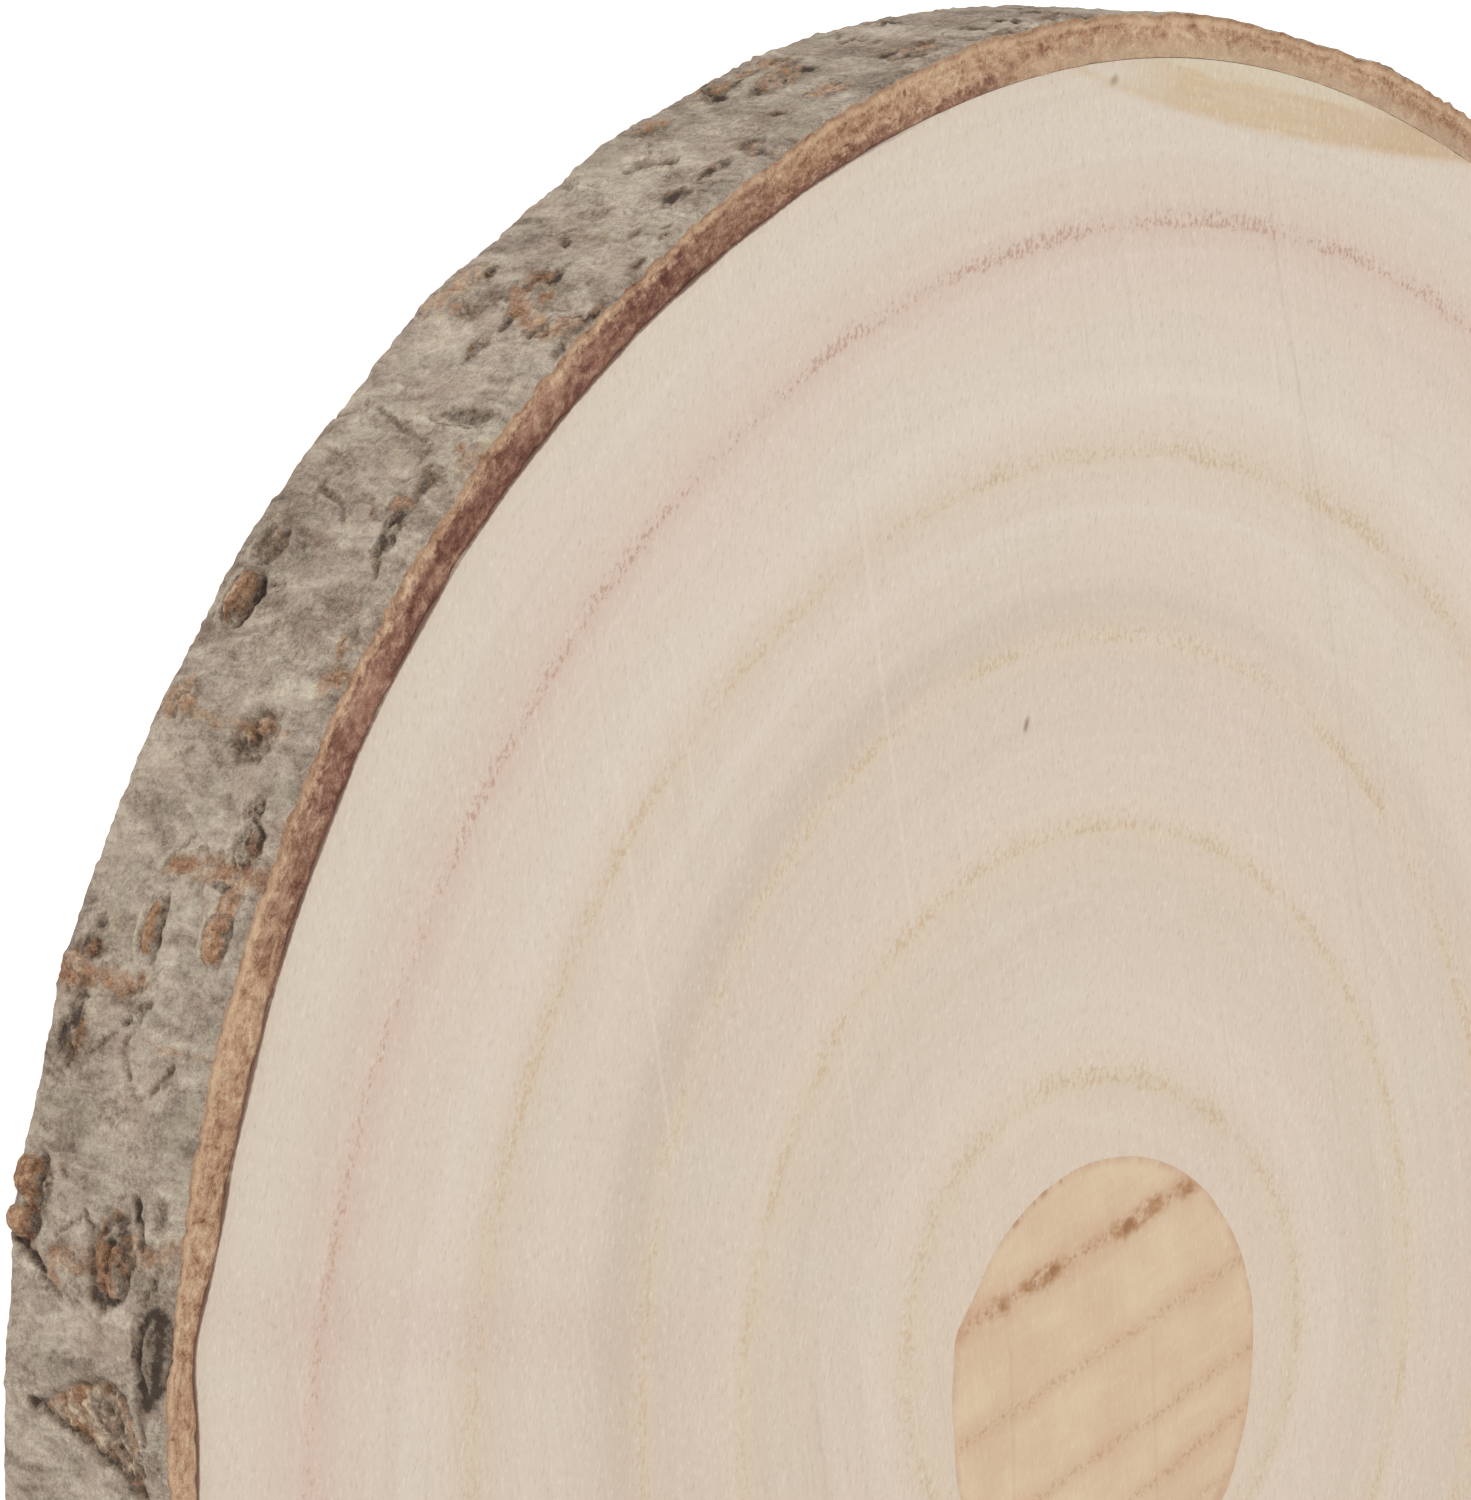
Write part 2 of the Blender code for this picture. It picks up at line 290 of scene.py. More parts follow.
# Cracks: start and end, each a direction and a height, then width, depth,
# how far cork shows in them, how dark.
CRACKS = (
    (270.5, 17.2, 270.5, 12, 2.2, 0.08, 0.72, 0.2), (271.3, 8.8, 271.4, 3.4, 2.2, 0.08, 0.66, 0.3),
    (272.9, 5.4, 272.1, 3.4, 0.28, 0.25, 0, 0.6), (272.2, 3.6, 271, 0.4, 0.5, 0.4, 0, 1),
    (272.4, 5, 270.9, 1.4, 0.6, 0.1, 0.7, 0.1), (270.4, 13.3, 269.3, 12.9, 0.4, 0.2, 0, 0.8),
    (269.4, 13, 268.6, 12, 0.6, 0.25, 0, 1), (272.6, 14.3, 271, 15.4, 0.45, 0.2, 0, 0.8),
    (277.9, 15, 276.3, 14.2, 0.45, 0.2, 0, 0.8), (269.9, 8.1, 269.3, 7, 0.3, 0.15, 0, 0.7),
    (269.5, 7.6, 270.6, 4.4, 0.25, 0.15, 0, 0.5), (262.7, 17, 262.5, 9.6, 0.35, 0.05, 0.6, 0.1),
    (264.5, 11.6, 263.2, 13.4, 0.25, 0.15, 0, 0.7), (263.9, 9.3, 263.1, 8.1, 0.25, 0.15, 0, 0.6),
    (263.4, 4.4, 262.3, 6.8, 0.28, 0.15, 0, 0.6), (262.3, 6.8, 261.2, 8.6, 0.3, 0.15, 0, 0.7),
    (263, 7.8, 261.4, 9, 0.3, 0.12, 0, 0.6), (261.3, 9, 260.8, 9.6, 0.25, 0.12, 0, 0.6),
    (260.2, 8.2, 260.5, 0.6, 1.25, 0.12, 0.85, 0.6), (260.7, 7.6, 261, 4.6, 0.3, 0.15, 0, 0.5),
    (255.6, 17.2, 255.3, 12.8, 1.6, 0.12, 0.88, 0.6), (255.1, 13.6, 255.4, 7.4, 1.45, 0.15, 0.92, 0.6),
    (255.4, 6.6, 254.2, 8.6, 0.25, 0.12, 0, 0.5), (256, 8.6, 255.5, 6.6, 0.25, 0.12, 0, 0.4),
    (249.5, 13.8, 249.4, 12, 0.6, 0.05, 0.5, 0.1), (249.3, 9.6, 249, 3, 1.1, 0.06, 0.6, 0.2),
    (243.9, 17, 243.5, 13.6, 1.3, 0.05, 0.5, 0), (245.4, 13.5, 244.9, 8, 0.6, 0.06, 0.1, 0.3),
    (244.3, 12.6, 244.1, 9.4, 0.5, 0.06, 0.1, 0.35), (242, 14.4, 240.9, 13.2, 0.4, 0.2, 0, 0.75),
    (241, 13.3, 239.4, 12.4, 0.4, 0.15, 0, 0.8), (241.2, 12.4, 240.8, 6.6, 0.4, 0.05, 0.35, 0.2),
    (238.6, 13, 238.3, 4.4, 0.6, 0.06, 0.35, 0.3), (239.6, 7.9, 238.8, 7, 0.3, 0.12, 0, 0.7),
    (238.8, 7, 238, 3.8, 0.3, 0.12, 0, 0.6), (238, 3.8, 236.6, 5.4, 0.3, 0.1, 0, 0.45),
    (235.9, 17.2, 235.5, 14.8, 2, 0.06, 1, 0), (235.2, 10, 234.4, 6.4, 0.3, 0.12, 0, 0.6),
    (234.2, 6, 233.9, 3.6, 0.35, 0.12, 0, 0.6), (236.3, 5, 236, 0.8, 0.7, 0.06, 0.4, 0.3),
    (228.9, 14.6, 228.6, 12, 1.2, 0.08, 0.75, 0.5), (228.1, 12.2, 227.4, 9, 1.5, 0.15, 0.95, 0.6),
    (227.5, 9.3, 226.3, 7.4, 1.2, 0.12, 0.9, 0.7), (228.8, 9.4, 227.8, 9.1, 0.5, 0.2, 0, 0.9),
    (222.7, 12.8, 222.4, 6.6, 1.2, 0.08, 0.45, 0.4), (223.2, 7.6, 222.5, 6.3, 0.4, 0.15, 0, 0.9),
    (223.7, 15, 224.2, 12, 0.25, 0.08, 0, 0.4), (215.2, 16.9, 215.1, 12.6, 0.9, 0.12, 0.3, 0.6),
    (216.4, 8.4, 217.4, 4.8, 0.7, 0.15, 0, 0.55), (220, 6.2, 218.8, 3.4, 1.2, 0.15, 0.1, 0.35),
    (219.4, 3.6, 219.2, 1.2, 0.5, 0.1, 0, 0.35),
)

# Edges of the torn wedge of bark left of the knot: heights, then the directions of its two sides.
TEAR_HEIGHTS = (2.4, 5.0, 8.0, 10.5, 12.6, 14.4)
TEAR_LEFT = (277.5, 277.8, 278.4, 279.1, 279.8, 280.4)
TEAR_RIGHT = (277.3, 276.9, 276.1, 275.8, 276.3, 278.6)


def capsule(along, up, x0, y0, x1, y1):
    """How far points of the unrolled wall lie from a line on it, and how far along it, from 0 to 1."""
    dx, dy = x1 - x0, y1 - y0
    t = np.clip(((along - x0) * dx + (up - y0) * dy) / (dx * dx + dy * dy), 0, 1)
    return np.hypot(along - x0 - t * dx, up - y0 - t * dy), t


FAR_SIDE = (283, 532)  # its directions


def far_side_marks():
    """Marks and cracks over the side that the picture doesn't show, and small wrinkles all round."""
    rng = np.random.RandomState(23)
    some = rng.uniform
    marks, cracks = [], []
    for _ in range(150):
        where, level = some(*FAR_SIDE) % 360, some(0.8, 15.8)
        kind = rng.choice([CORK, SMUDGE, SLIT, PIT, SCAR], p=[0.30, 0.38, 0.08, 0.16, 0.08])
        wide, tall, rise = some(2.4, 5.0), some(1.5, 2.6), some(0.3, 0.7)
        if kind == PIT:
            wide, tall, rise = some(1.0, 2.0), some(1.2, 5.5), -some(0.15, 0.3)
        if kind == SCAR:
            wide, tall, rise = some(4, 6.4), some(4, 6), some(0.1, 0.45)
        marks.append((kind, where, level, wide, tall, rise, some(0.4, 1.1)))
    for _ in range(80):
        where, level = some(*FAR_SIDE), some(3, 16.8)
        lean, drop = some(-1.2, 1.2), some(2.5, 7)
        cork = rng.choice([0, 0.2, 0.75])
        width, depth, darkness = some(0.25, 0.8), some(0.1, 0.25), some(0.3, 0.8)
        cracks.append((where, level, where + lean, level - drop, width, depth, cork, darkness))
    for _ in range(330):
        where, level = some(0, 360), some(1, 16.6)
        lean, drop = some(-1.5, 1.5), some(-0.8, 4.2)
        width, darkness = some(0.10, 0.24), some(0.2, 0.5)
        cracks.append((where, level, where + lean, level - drop, width, 0.08, 0.0, darkness))
    return marks, cracks


WANDER = {CORK: 0.20, SMUDGE: 0.24, SCAR: 0.20}  # how far the edge of a mark strays, 0.14 for the rest


class Spot:
    """One mark: where each point near it lies, in its half widths, and the noise about it."""

    def __init__(self, D, H, kind, where, level, wide, tall, rise, darkness):
        self.D, self.H, self.rise, self.darkness = D, H, rise, darkness
        self.seed = int(where * 10 + level * 100) % 9973
        self.flat = tall < wide * 0.5
        wander = WANDER.get(kind, 0.14)
        self.coarse, self.small = self.cells(0.9, 0.7, 10), self.cells(2.6, 1.9, 12)
        self.a = apart(D, where) * BARK_DEGREE / (wide / 2) + wander * (self.coarse + 0.55 * self.small)
        self.b = (H - level) / (tall / 2) + wander * self.cells(0.9, 0.7, 11)
        self.b = self.b + 0.6 * wander * self.cells(2.6, 1.9, 13)
        self.rough = self.cells(3.3, 2.6, 1)
        self.fine = self.cells(6.5, 4.1, 2)
        self.rho = np.hypot(self.a, self.b)
        self.halo = 0.24 * darkness * bell(self.rho, 0, 1.55)

    def cells(self, across, up, k, warp=0.0, warp_up=0.0):
        """Noise with so many cells in a degree and in a millimetre of height."""
        x = self.D * across + (warp * self.rough if warp else 0)
        y = self.H * up + (warp_up * self.fine if warp_up else 0)
        return noise(x, y, self.seed + k)

    def arc(self, middle, bend, width, far, close):
        """A bent band across the mark, fading out at its ends."""
        return bell(self.b + bend * self.a**2, middle, width) * smooth(far, close, np.abs(self.a))


# Each kind gives its relief, its fine relief and the masks of cork, shade and pale edges.

def cork_mark(m):
    """A lens of raw cork under a lid, with the lid's shadow painted dark, painted shade in the crease below
    the body and a painted highlight on the lip under it.
    """
    power = 1.5 if m.flat else 2.4
    rho = (np.abs(m.a) ** power + np.abs(m.b) ** power) ** (1 / power)
    body = np.sqrt(np.clip(1 - rho**2, 0, 1))
    inside = 1 - smooth(0.72, 1.18, rho + 0.16 * m.rough + 0.10 * m.fine)
    # bands for the lid's painted shadow, the painted shade of the sill's crease and a painted highlight on
    # the lip below
    lid, sill = m.arc(1.16, 0.34, 0.34, 1.5, 0.8), m.arc(-0.98, -0.30, 0.17, 1.25, 0.7)
    lip, brow = m.arc(-1.42, -0.34, 0.26, 1.4, 0.8), m.arc(1.85, 0.30, 0.35, 1.6, 0.8)
    relief = m.rise * (0.85 * body + 0.30 * bell(rho, 0, 1.8)) - 0.45 * lid * m.darkness
    relief = relief - 0.12 * sill + 0.14 * lip + 0.16 * brow
    detail = (0.10 * m.rough + 0.08 * m.fine) * body
    streaks = noise(m.D * 1.1, m.H * 4.2 + 0.5 * m.coarse, m.seed + 6)
    patchy = smooth(-0.5, 0.6, m.cells(1.1, 1.4, 7, 0.6) + 0.5 * m.fine)
    cork = inside * (0.50 + 0.50 * patchy + 0.15 * m.rough)
    shade = 0.34 * max(0, m.darkness - 0.45) + 0.34 * smooth(0.1, 0.7, streaks + 0.3 * m.fine)
    shade = shade + 0.34 * bell(rho, 0.95, 0.18) + 0.10 * (1 - patchy)
    # painted shadow under the lid and painted shade in the sill
    dark = m.darkness * most(1.05 * lid, 0.62 * sill) * (0.9 + 0.25 * m.rough)
    dark = most(dark, shade * inside, m.halo * (1 - inside))
    # painted highlight on the lip, and pale streaks in the cork
    pale = 0.80 * lip + 0.35 * inside * smooth(0.2, 0.8, -streaks)
    # on the biggest corks, a fold with a painted highlight and painted shade in the dip under it
    if m.darkness > 1.1:
        fold, under = m.arc(-0.48, -0.20, 0.13, 1.0, 0.7), m.arc(-0.76, -0.20, 0.10, 1.0, 0.7)
        detail = detail + 0.16 * fold - 0.12 * under
        dark, pale = most(dark * (1 - 0.8 * fold), 0.75 * under), most(pale, 0.95 * fold)
    return relief, detail, cork, dark, pale


def slit_mark(m):
    """A gap between two dark arcs, with a rough ridge in it: painted shade in the grooved arcs, stronger
    above, and in the gap, and painted highlight on the ridge and under the lower arc.
    """
    arch = 0.85 * (1 - 0.7 * m.a**2)
    ends = smooth(1.35, 0.75, np.abs(m.a))
    upper, lower = bell(m.b, arch, 0.34) * ends, bell(m.b, -arch, 0.26) * ends
    under = bell(m.b, -arch - 0.55, 0.26) * ends
    inside = (1 - smooth(0.65, 1.05, m.rho)) * ends
    ridge = smooth(0.1, 0.6, m.cells(2.2, 2.4, 4, 0.5, 0.5)) * inside
    swell = bell(m.rho, 0, 1.7)
    relief = m.rise * 0.9 * swell - m.darkness * (0.38 * upper + 0.22 * lower + 0.10 * inside)
    detail = 0.20 * ridge + (0.12 * m.rough + 0.08 * m.fine) * swell + 0.08 * under
    # painted shade in the arcs and the gap
    dark = m.darkness * most(upper, 0.75 * lower) * (0.85 + 0.4 * m.rough)
    dark = most(dark, m.halo, m.darkness * inside * (0.60 + 0.4 * m.fine) - 0.6 * ridge)
    # painted highlight on the ridge and under the lower arc
    return relief, detail, (0.15 + 0.4 * m.rough) * inside, dark, 0.55 * under + 0.50 * ridge


def lips_mark(m):
    """The scar of a lost branch: a black ring round two folds, the black partly painted shade in the grooves
    of the ring and upper fold, with a painted highlight on the lower fold's ridge.
    """
    ring = bell(m.rho, 0.86, 0.19) * (0.65 + 0.35 * smooth(0.3, -0.3, m.b))
    upper, ridge = m.arc(0.40, 0.20, 0.42, 0.98, 0.78), m.arc(-0.36, -0.10, 0.13, 0.85, 0.5)
    drop = bell(m.a, -0.10, 0.42) * bell(m.b, -1.15, 0.26)
    folds = m.cells(2.4, 2.6, 4, 0.5, 0.5)
    rim = bell(m.rho, 1.28, 0.14)
    relief = m.rise * 0.8 * bell(m.rho, 0, 1.5) - 0.34 * most(ring, upper) + 0.12 * ridge
    detail = 0.12 * folds * (m.rho < 1.1) + 0.06 * rim
    # black, partly painted shade, in the grooved ring and upper fold
    dark = m.darkness * most(0.95 * upper, ring, 0.80 * drop) * (0.95 + 0.15 * m.rough)
    dark = most(dark, 0.50 * (1 - smooth(0.8, 1.1, m.rho)))
    dark = most(dark * (1 - 0.80 * ridge * smooth(-0.6, 0.3, folds)), 2.2 * m.halo)
    # painted highlight on the lower fold's ridge, and a pale rim
    pale = 0.75 * ridge * smooth(-0.5, 0.4, folds) + 0.35 * rim
    return relief, detail, 0.25 * upper * smooth(0.1, 0.6, folds), dark, pale


def smudge_mark(m):
    """A dark, uneven blot."""
    inside = 1 - smooth(0.30, 1.45, m.rho)
    blots = m.cells(1.5, 1.3, 4, 0.6, 0.4) + 0.45 * m.cells(4.4, 3.0, 5)
    ridge = smooth(0.25, 0.85, -blots) * inside
    relief = m.rise * 0.8 * bell(m.rho, 0, 1.5) - 0.20 * m.darkness * inside * smooth(-0.3, 0.5, blots)
    cork = inside * (0.12 + 0.55 * smooth(0.0, 0.8, m.cells(1.2, 1.1, 7)))
    dark = 0.70 + 0.38 * smooth(-0.45, 0.55, blots + 0.3 * smooth(-0.6, 0.9, m.b))
    dark = most(m.darkness * inside * dark * (1 - 0.40 * ridge), 1.3 * m.halo)
    pale = 0.60 * ridge * smooth(-0.4, 0.6, m.fine + m.rough)
    return relief, 0.16 * ridge + 0.06 * m.fine * inside, cork, dark, pale


def rust_mark(m):
    """A patch of tan cork with dark pits in it, their dark partly painted shade, and a painted shadow along
    its top.
    """
    inside = 1 - smooth(0.50, 1.30, m.rho + 0.30 * m.rough)
    blots = m.cells(1.6, 1.5, 4, 0.8, 0.5) + 0.6 * m.cells(4.0, 3.4, 5)
    relief = m.rise * 0.9 * bell(m.rho, 0, 1.25) - 0.16 * inside * smooth(0.0, 0.6, -blots)
    brow = m.arc(0.85, 0.2, 0.30, 1.3, 0.7)
    # painted shade, in part, in the pits, and a painted shadow along the top
    dark = most(inside * (0.22 + 0.58 * smooth(-0.1, 0.7, -blots)), 0.62 * brow * (1 + 0.4 * m.rough))
    pale = 0.55 * inside * smooth(0.3, 0.9, blots) * smooth(-0.3, 0.5, m.fine)
    detail = (0.14 * m.rough + 0.08 * m.fine) * inside
    cork = inside * np.clip(0.40 + 0.28 * blots, 0, 1)
    return relief, detail, cork, most(m.darkness * dark, m.halo), pale


def shade_mark(m):
    """A broad faint shade, or a pale stretch where the darkness is negative."""
    spread = bell(m.rho, 0, 0.9) * (1 + 0.35 * m.coarse + 0.2 * m.rough)
    return 0, 0, 0 * m.a, max(0, m.darkness) * spread, max(0, -m.darkness) * spread


def pit_mark(m):
    """A dent pointed at both ends, painted dark inside as shade, with a painted shadow along one side of its
    rim and a painted highlight round it.
    """
    rho = np.hypot(m.a, m.b * (1 + 0.4 * m.a**2))
    hollow = 1 - smooth(0.45, 1.15, rho)
    # painted shade in the dent and a painted shadow along one side of its rim
    dark = m.darkness * most((0.9 + 0.2 * m.rough) * hollow, bell(rho, 1.0, 0.14) * smooth(0, 1, m.a))
    relief = m.rise * hollow + 0.06 * bell(rho, 1.25, 0.2)
    # painted highlight on the raised ring round it
    return relief, 0, 0.10 * hollow, dark, 0.40 * bell(rho, 1.28, 0.18)


def scar_mark(m):
    """A round knot with a dark grooved edge, darker on one side and partly painted shade, and whorls inside
    with painted shade in their creases and painted highlight on the ridges between.
    """
    strength = smooth(0.05, 0.4, m.rise)
    edge = bell(m.rho, 0.98, 0.10 + 0.10 * strength)
    inside = 1 - smooth(0.80, 1.05, m.rho)
    whorl = m.rho * 8.5 + np.sin(2 * np.arctan2(m.b, m.a) + m.seed)
    whorl = whorl + 1.5 * m.coarse + 0.9 * m.small + 0.8 * m.rough
    creases = (0.5 + 0.5 * np.cos(whorl)) ** 1.5 * inside
    turn = 0.30 + 0.70 * smooth(-0.7, 0.6, m.a + 0.6 * m.cells(0.8, 0.6, 8))
    patches = m.cells(1.3, 0.9, 5)
    relief = m.rise * 0.7 * bell(m.rho, 0, 1.3) - (0.08 + 0.22 * strength) * edge - strength * 0.30 * creases
    cork = strength * inside * np.clip(0.34 + 0.6 * patches + 0.3 * m.rough, 0, 1)
    within = 0.26 + 0.52 * creases * (0.8 + 0.5 * m.rough) + 0.34 * bell(m.rho, 0, 0.38)
    within = strength * inside * (within + 0.12 * smooth(0.2, -0.5, patches))
    # the edge's dark, darker on one side, is partly painted shade, and the whorls' creases have painted shade
    dark = most(m.darkness * edge * turn * (0.85 + 0.3 * m.rough), within, strength * m.halo)
    # painted highlight on the ridges between the whorls
    pale = 0.85 * strength * inside * (1 - creases) ** 3 * smooth(-0.3, 0.5, -m.rough - patches)
    detail = strength * (0.22 * m.rough + 0.14 * m.fine) * inside
    return relief, detail, cork, dark, pale + 0.30 * bell(m.rho, 1.22, 0.12)


SHAPES = {
    CORK: cork_mark, SLIT: slit_mark, PIT: pit_mark, SCAR: scar_mark,
    SMUDGE: smudge_mark, LIPS: lips_mark, SHADE: shade_mark, RUST: rust_mark,
}

WALL_COLUMNS = 1520
WALL_ROWS = 54
# Rows over the sawn bark, 1 at the wall and 0 at the wood.
CUT_SHARES = np.array([0.95, 0.80, 0.62, 0.45, 0.28, 0.12, 0.0])
UNDER_SHARES = np.array([0.0, 0.12, 0.5, 0.93])


def close_columns():
    """Directions of the mesh's columns, closest together on the side that is seen."""
    fine = np.arange(0, 360, 0.01)
    density = 1 + 2.2 * smooth(186, 200, fine) * smooth(300, 286, fine)
    total = np.concatenate([[0], np.cumsum(density)])
    return np.interp(np.arange(WALL_COLUMNS) / WALL_COLUMNS * total[-1], total, np.arange(len(total)) * 0.01)


class Wall:
    """The bark's outer face, unrolled: relief and the masks that its material reads."""

    def __init__(self):
        self.direction = close_columns()
        self.D, self.H = np.meshgrid(self.direction, np.linspace(0, THICKNESS, WALL_ROWS), indexing="ij")
        self.relief, self.detail, self.cork, self.dark, self.pale = (np.zeros_like(self.D) for _ in range(5))
        self.uneven()
        marks, cracks = far_side_marks()
        for crack in CRACKS + tuple(cracks):
            self.add_crack(*crack)
        self.add_tear()
        for item in [(kind, *mark) for kind, group in MARKS.items() for mark in group] + marks:
            self.add_mark(*item)
        self.relief = np.clip(self.relief + self.detail, -1.0, 1.25)

    def field(self, turns, per_mm, seed, slant=0.0, warp=0.0):
        """Noise over the wall, with so many cells round the slice and in a millimetre of height."""
        x, y = self.D / 360 * turns + slant * self.H, self.H * per_mm
        if warp:
            side = self.field(turns // 2, per_mm / 2, seed + 900)
            rise = self.field(turns // 2, per_mm / 2, seed + 950)
            x, y = x + warp * side, y + warp * rise
        return noise(x, y, seed, turns)

    def uneven(self):
        """Broad swells, wrinkled plates with shallow creases between them, and small scales, with painted
        shade in the creases and chips.
        """
        self.relief += 0.20 * self.field(60, 0.10, 1, 0.05) + 0.10 * self.field(150, 0.13, 2, 0.08)
        creases = 1 - smooth(0.0, 0.20, np.abs(self.field(170, 0.22, 5, 0.05, 0.9)))
        creases = creases * smooth(-0.1, 0.6, self.field(90, 0.16, 7, 0.0, 0.6))
        chips = 1 - smooth(0.0, 0.30, np.abs(self.field(420, 0.60, 6, -0.1, 0.8)))
        self.detail += 0.085 * self.field(300, 0.35, 3, 0.15, 0.7) + 0.065 * self.field(760, 0.9, 4, 0.0, 0.5)
        self.detail += 0.045 * self.field(1500, 1.7, 8) + 0.03 * self.field(1300, 0.5, 9)
        self.detail += -0.10 * creases - 0.06 * chips
        # painted shade: the sunken creases and chips are darkened
        self.dark += 0.20 * creases + 0.08 * chips
        self.pale += 0.35 * smooth(0.3, 0.8, self.field(520, 0.8, 10, 0.1, 0.8))

    def near(self, where, reach):
        """The columns within reach degrees of a direction, with their directions and heights."""
        cols = np.abs(apart(self.direction, where)) < reach
        return cols, self.D[cols], self.H[cols]

    def lay(self, cols, relief, detail, cork, dark, pale):
        """Adds relief, and lays colour masks over the ones already there, keeping the stronger of each."""
        self.relief[cols] += relief
        self.detail[cols] += detail
        for layer, mask in ((self.cork, cork), (self.dark, dark), (self.pale, pale)):
            layer[cols] = most(layer[cols], mask)

    def add_mark(self, kind, where, level, wide, *rest):
        cols, D, H = self.near(where, wide * 0.9 + 1.5)
        self.lay(cols, *SHAPES[kind](Spot(D, H, kind, where, level, wide, *rest)))

    def add_crack(self, d0, h0, d1, h1, width, depth, cork, darkness):
        middle = (d0 + d1) / 2
        cols, D, H = self.near(middle, abs(d1 - d0) / 2 + 2)
        seed = int(middle * 10 + h0 * 100) % 9973
        along = apart(D, middle) * BARK_DEGREE
        along = along + 0.30 * noise(D * 1.3, H * 0.8, seed) + 0.14 * noise(D * 3.9, H * 2.3, seed + 1)
        off, t = capsule(along, H, apart(d0, middle) * BARK_DEGREE, h0, apart(d1, middle) * BARK_DEGREE, h1)
        rough = noise(D * 3.3, H * 2.1, seed + 2)
        thick = 0.55 + 0.45 * np.sin(np.pi * np.clip(t * 0.9 + 0.1, 0, 1))
        thick = width / 2 * thick * (1 + (0.6 - 0.35 * cork) * rough) + 0.08
        core = 1 - smooth(thick * 0.3, thick * 1.6 + 0.15 + 0.35 * cork, off)
        side = bell(off, thick * 1.4, thick * 0.5 + 0.12)
        # the crack's floor is painted dark, partly as shade, where no cork shows
        dark = most(darkness * (1 - cork) * (0.9 + 0.3 * rough), 0.30 * cork * (1 + 0.5 * rough)) * core
        halo = 0.22 * darkness * bell(off, 0, thick + 0.7)
        dark = most(dark, darkness * side * cork * smooth(-0.4, 0.5, rough), halo)
        relief = 0.08 * side - depth * core * (1 + 0.5 * rough)
        bare = cork * (0.75 + 0.35 * noise(D * 1.7, H * 1.2, seed + 3)) * core * (0.70 + 0.22 * rough)
        # painted highlight on the crack's raised sides
        self.lay(cols, relief, 0.16 * rough * core * cork, bare, dark, 0.4 * side * smooth(-0.3, 0.5, -rough))

    def add_tear(self):
        """A wedge where the bark tore: a dark grooved edge on the left, partly painted shade, and rough corky
        folds between with painted shade in their creases, pale flecks painted as highlights and a painted
        highlight on the raised rim.
        """
        cols, D, H = self.near(278.0, 5.0)
        wander = 0.35 * noise(D * 1.4, H * 0.9, 71) + 0.2 * noise(D * 4.2, H * 2.4, 72)
        left = (np.interp(H, TEAR_HEIGHTS, TEAR_LEFT) - D) * BARK_DEGREE + wander
        right = (D - np.interp(H, TEAR_HEIGHTS, TEAR_RIGHT)) * BARK_DEGREE + wander
        nearest = np.minimum(left, right)
        within = smooth(1.9, 2.8, H) * smooth(15.4, 14.4, H)
        inside = smooth(-0.1, 0.5, nearest) * within
        edge_left, edge_right = bell(left, 0.25, 0.42) * within, bell(right, 0.1, 0.26) * within
        rim = bell(left, -0.75, 0.4) * within
        rough = noise(D * 3.1, H * 2.2, 73)
        folds = np.abs(noise(D * 1.8 + 0.8 * rough, H * 0.9 + 0.5 * rough, 74))
        creases = (1 - smooth(0.0, 0.3, folds)) * inside
        relief = 0.16 * rim - 0.35 * edge_left - 0.20 * edge_right - 0.10 * inside - 0.26 * creases
        detail = inside * (0.30 * rough + 0.12 * noise(D * 6.3, H * 4.1, 75))
        lower, right_side = smooth(11.0, 7.5, H), smooth(1.8, 0.6, right)
        blots = noise(D * 1.5 + 0.6 * rough, H * 1.1, 76) + 0.4 * rough
        cork = inside * np.clip(0.34 + 0.22 * lower + 0.12 * right_side + 0.30 * blots, 0, 1)
        small = noise(D * 3.0 + 0.5 * rough, H * 2.4, 77) + 0.5 * noise(D * 6.0, H * 4.4, 78)
        edges = most(edge_left * (0.72 + 0.35 * rough), edge_right * (0.50 + 0.45 * rough))
        murk = 0.34 + 0.30 * smooth(0.0, 0.6, -blots) + 0.34 * small
        murk = inside * murk * (1 - 0.70 * lower) * (1 - 0.4 * right_side)
        # painted shade, in part, in the grooved edges and in the creases of the folds
        dark = most(edges, creases * (0.70 - 0.45 * lower), murk, 0.30 * within * bell(nearest, 0, 1.6))
        # pale flecks painted as highlights, and a painted highlight on the raised rim
        self.lay(cols, relief, detail, cork, dark, 0.9 * inside * smooth(0.15, 0.7, -small) + 0.3 * rim)

    def hollows(self):
        """How far each point lies under or over its surroundings, a millimetre about it, for the material to
        paint shade in the hollows and highlight on the ridges.
        """
        mean = self.relief.copy()
        for _ in range(3):
            mean = (np.roll(mean, 2, 0) + mean + np.roll(mean, -2, 0)) / 3
            padded = np.pad(mean, ((0, 0), (2, 2)), mode="edge")
            mean = (padded[:, :-4] + padded[:, 2:-2] + padded[:, 4:]) / 3
        return np.clip((self.relief - mean) / 0.22, -1, 1)


def cut_relief(direction, share, seed):
    """How far the sawn bark dips under the wood's face: a groove at the wood, fibres, torn bits."""
    tight = smooth(30, 46, np.abs(apart(direction, 248)))
    groove = bell(share, 0, 0.07) * (1 - tight)
    fibres, torn, pits, bumps = (
        round_noise(direction, share * across, turns, seed + k)
        for k, (across, turns) in enumerate(((7, 900), (3.2, 260), (4, 420), (3, 560)))
    )
    level = 0.10 - 0.08 * tight * bell(share, 0, 0.3) + 0.14 * smooth(0.45, 0.8, pits)
    return -0.08 * groove - level - 0.05 * fibres - 0.07 * torn - 0.08 * bumps


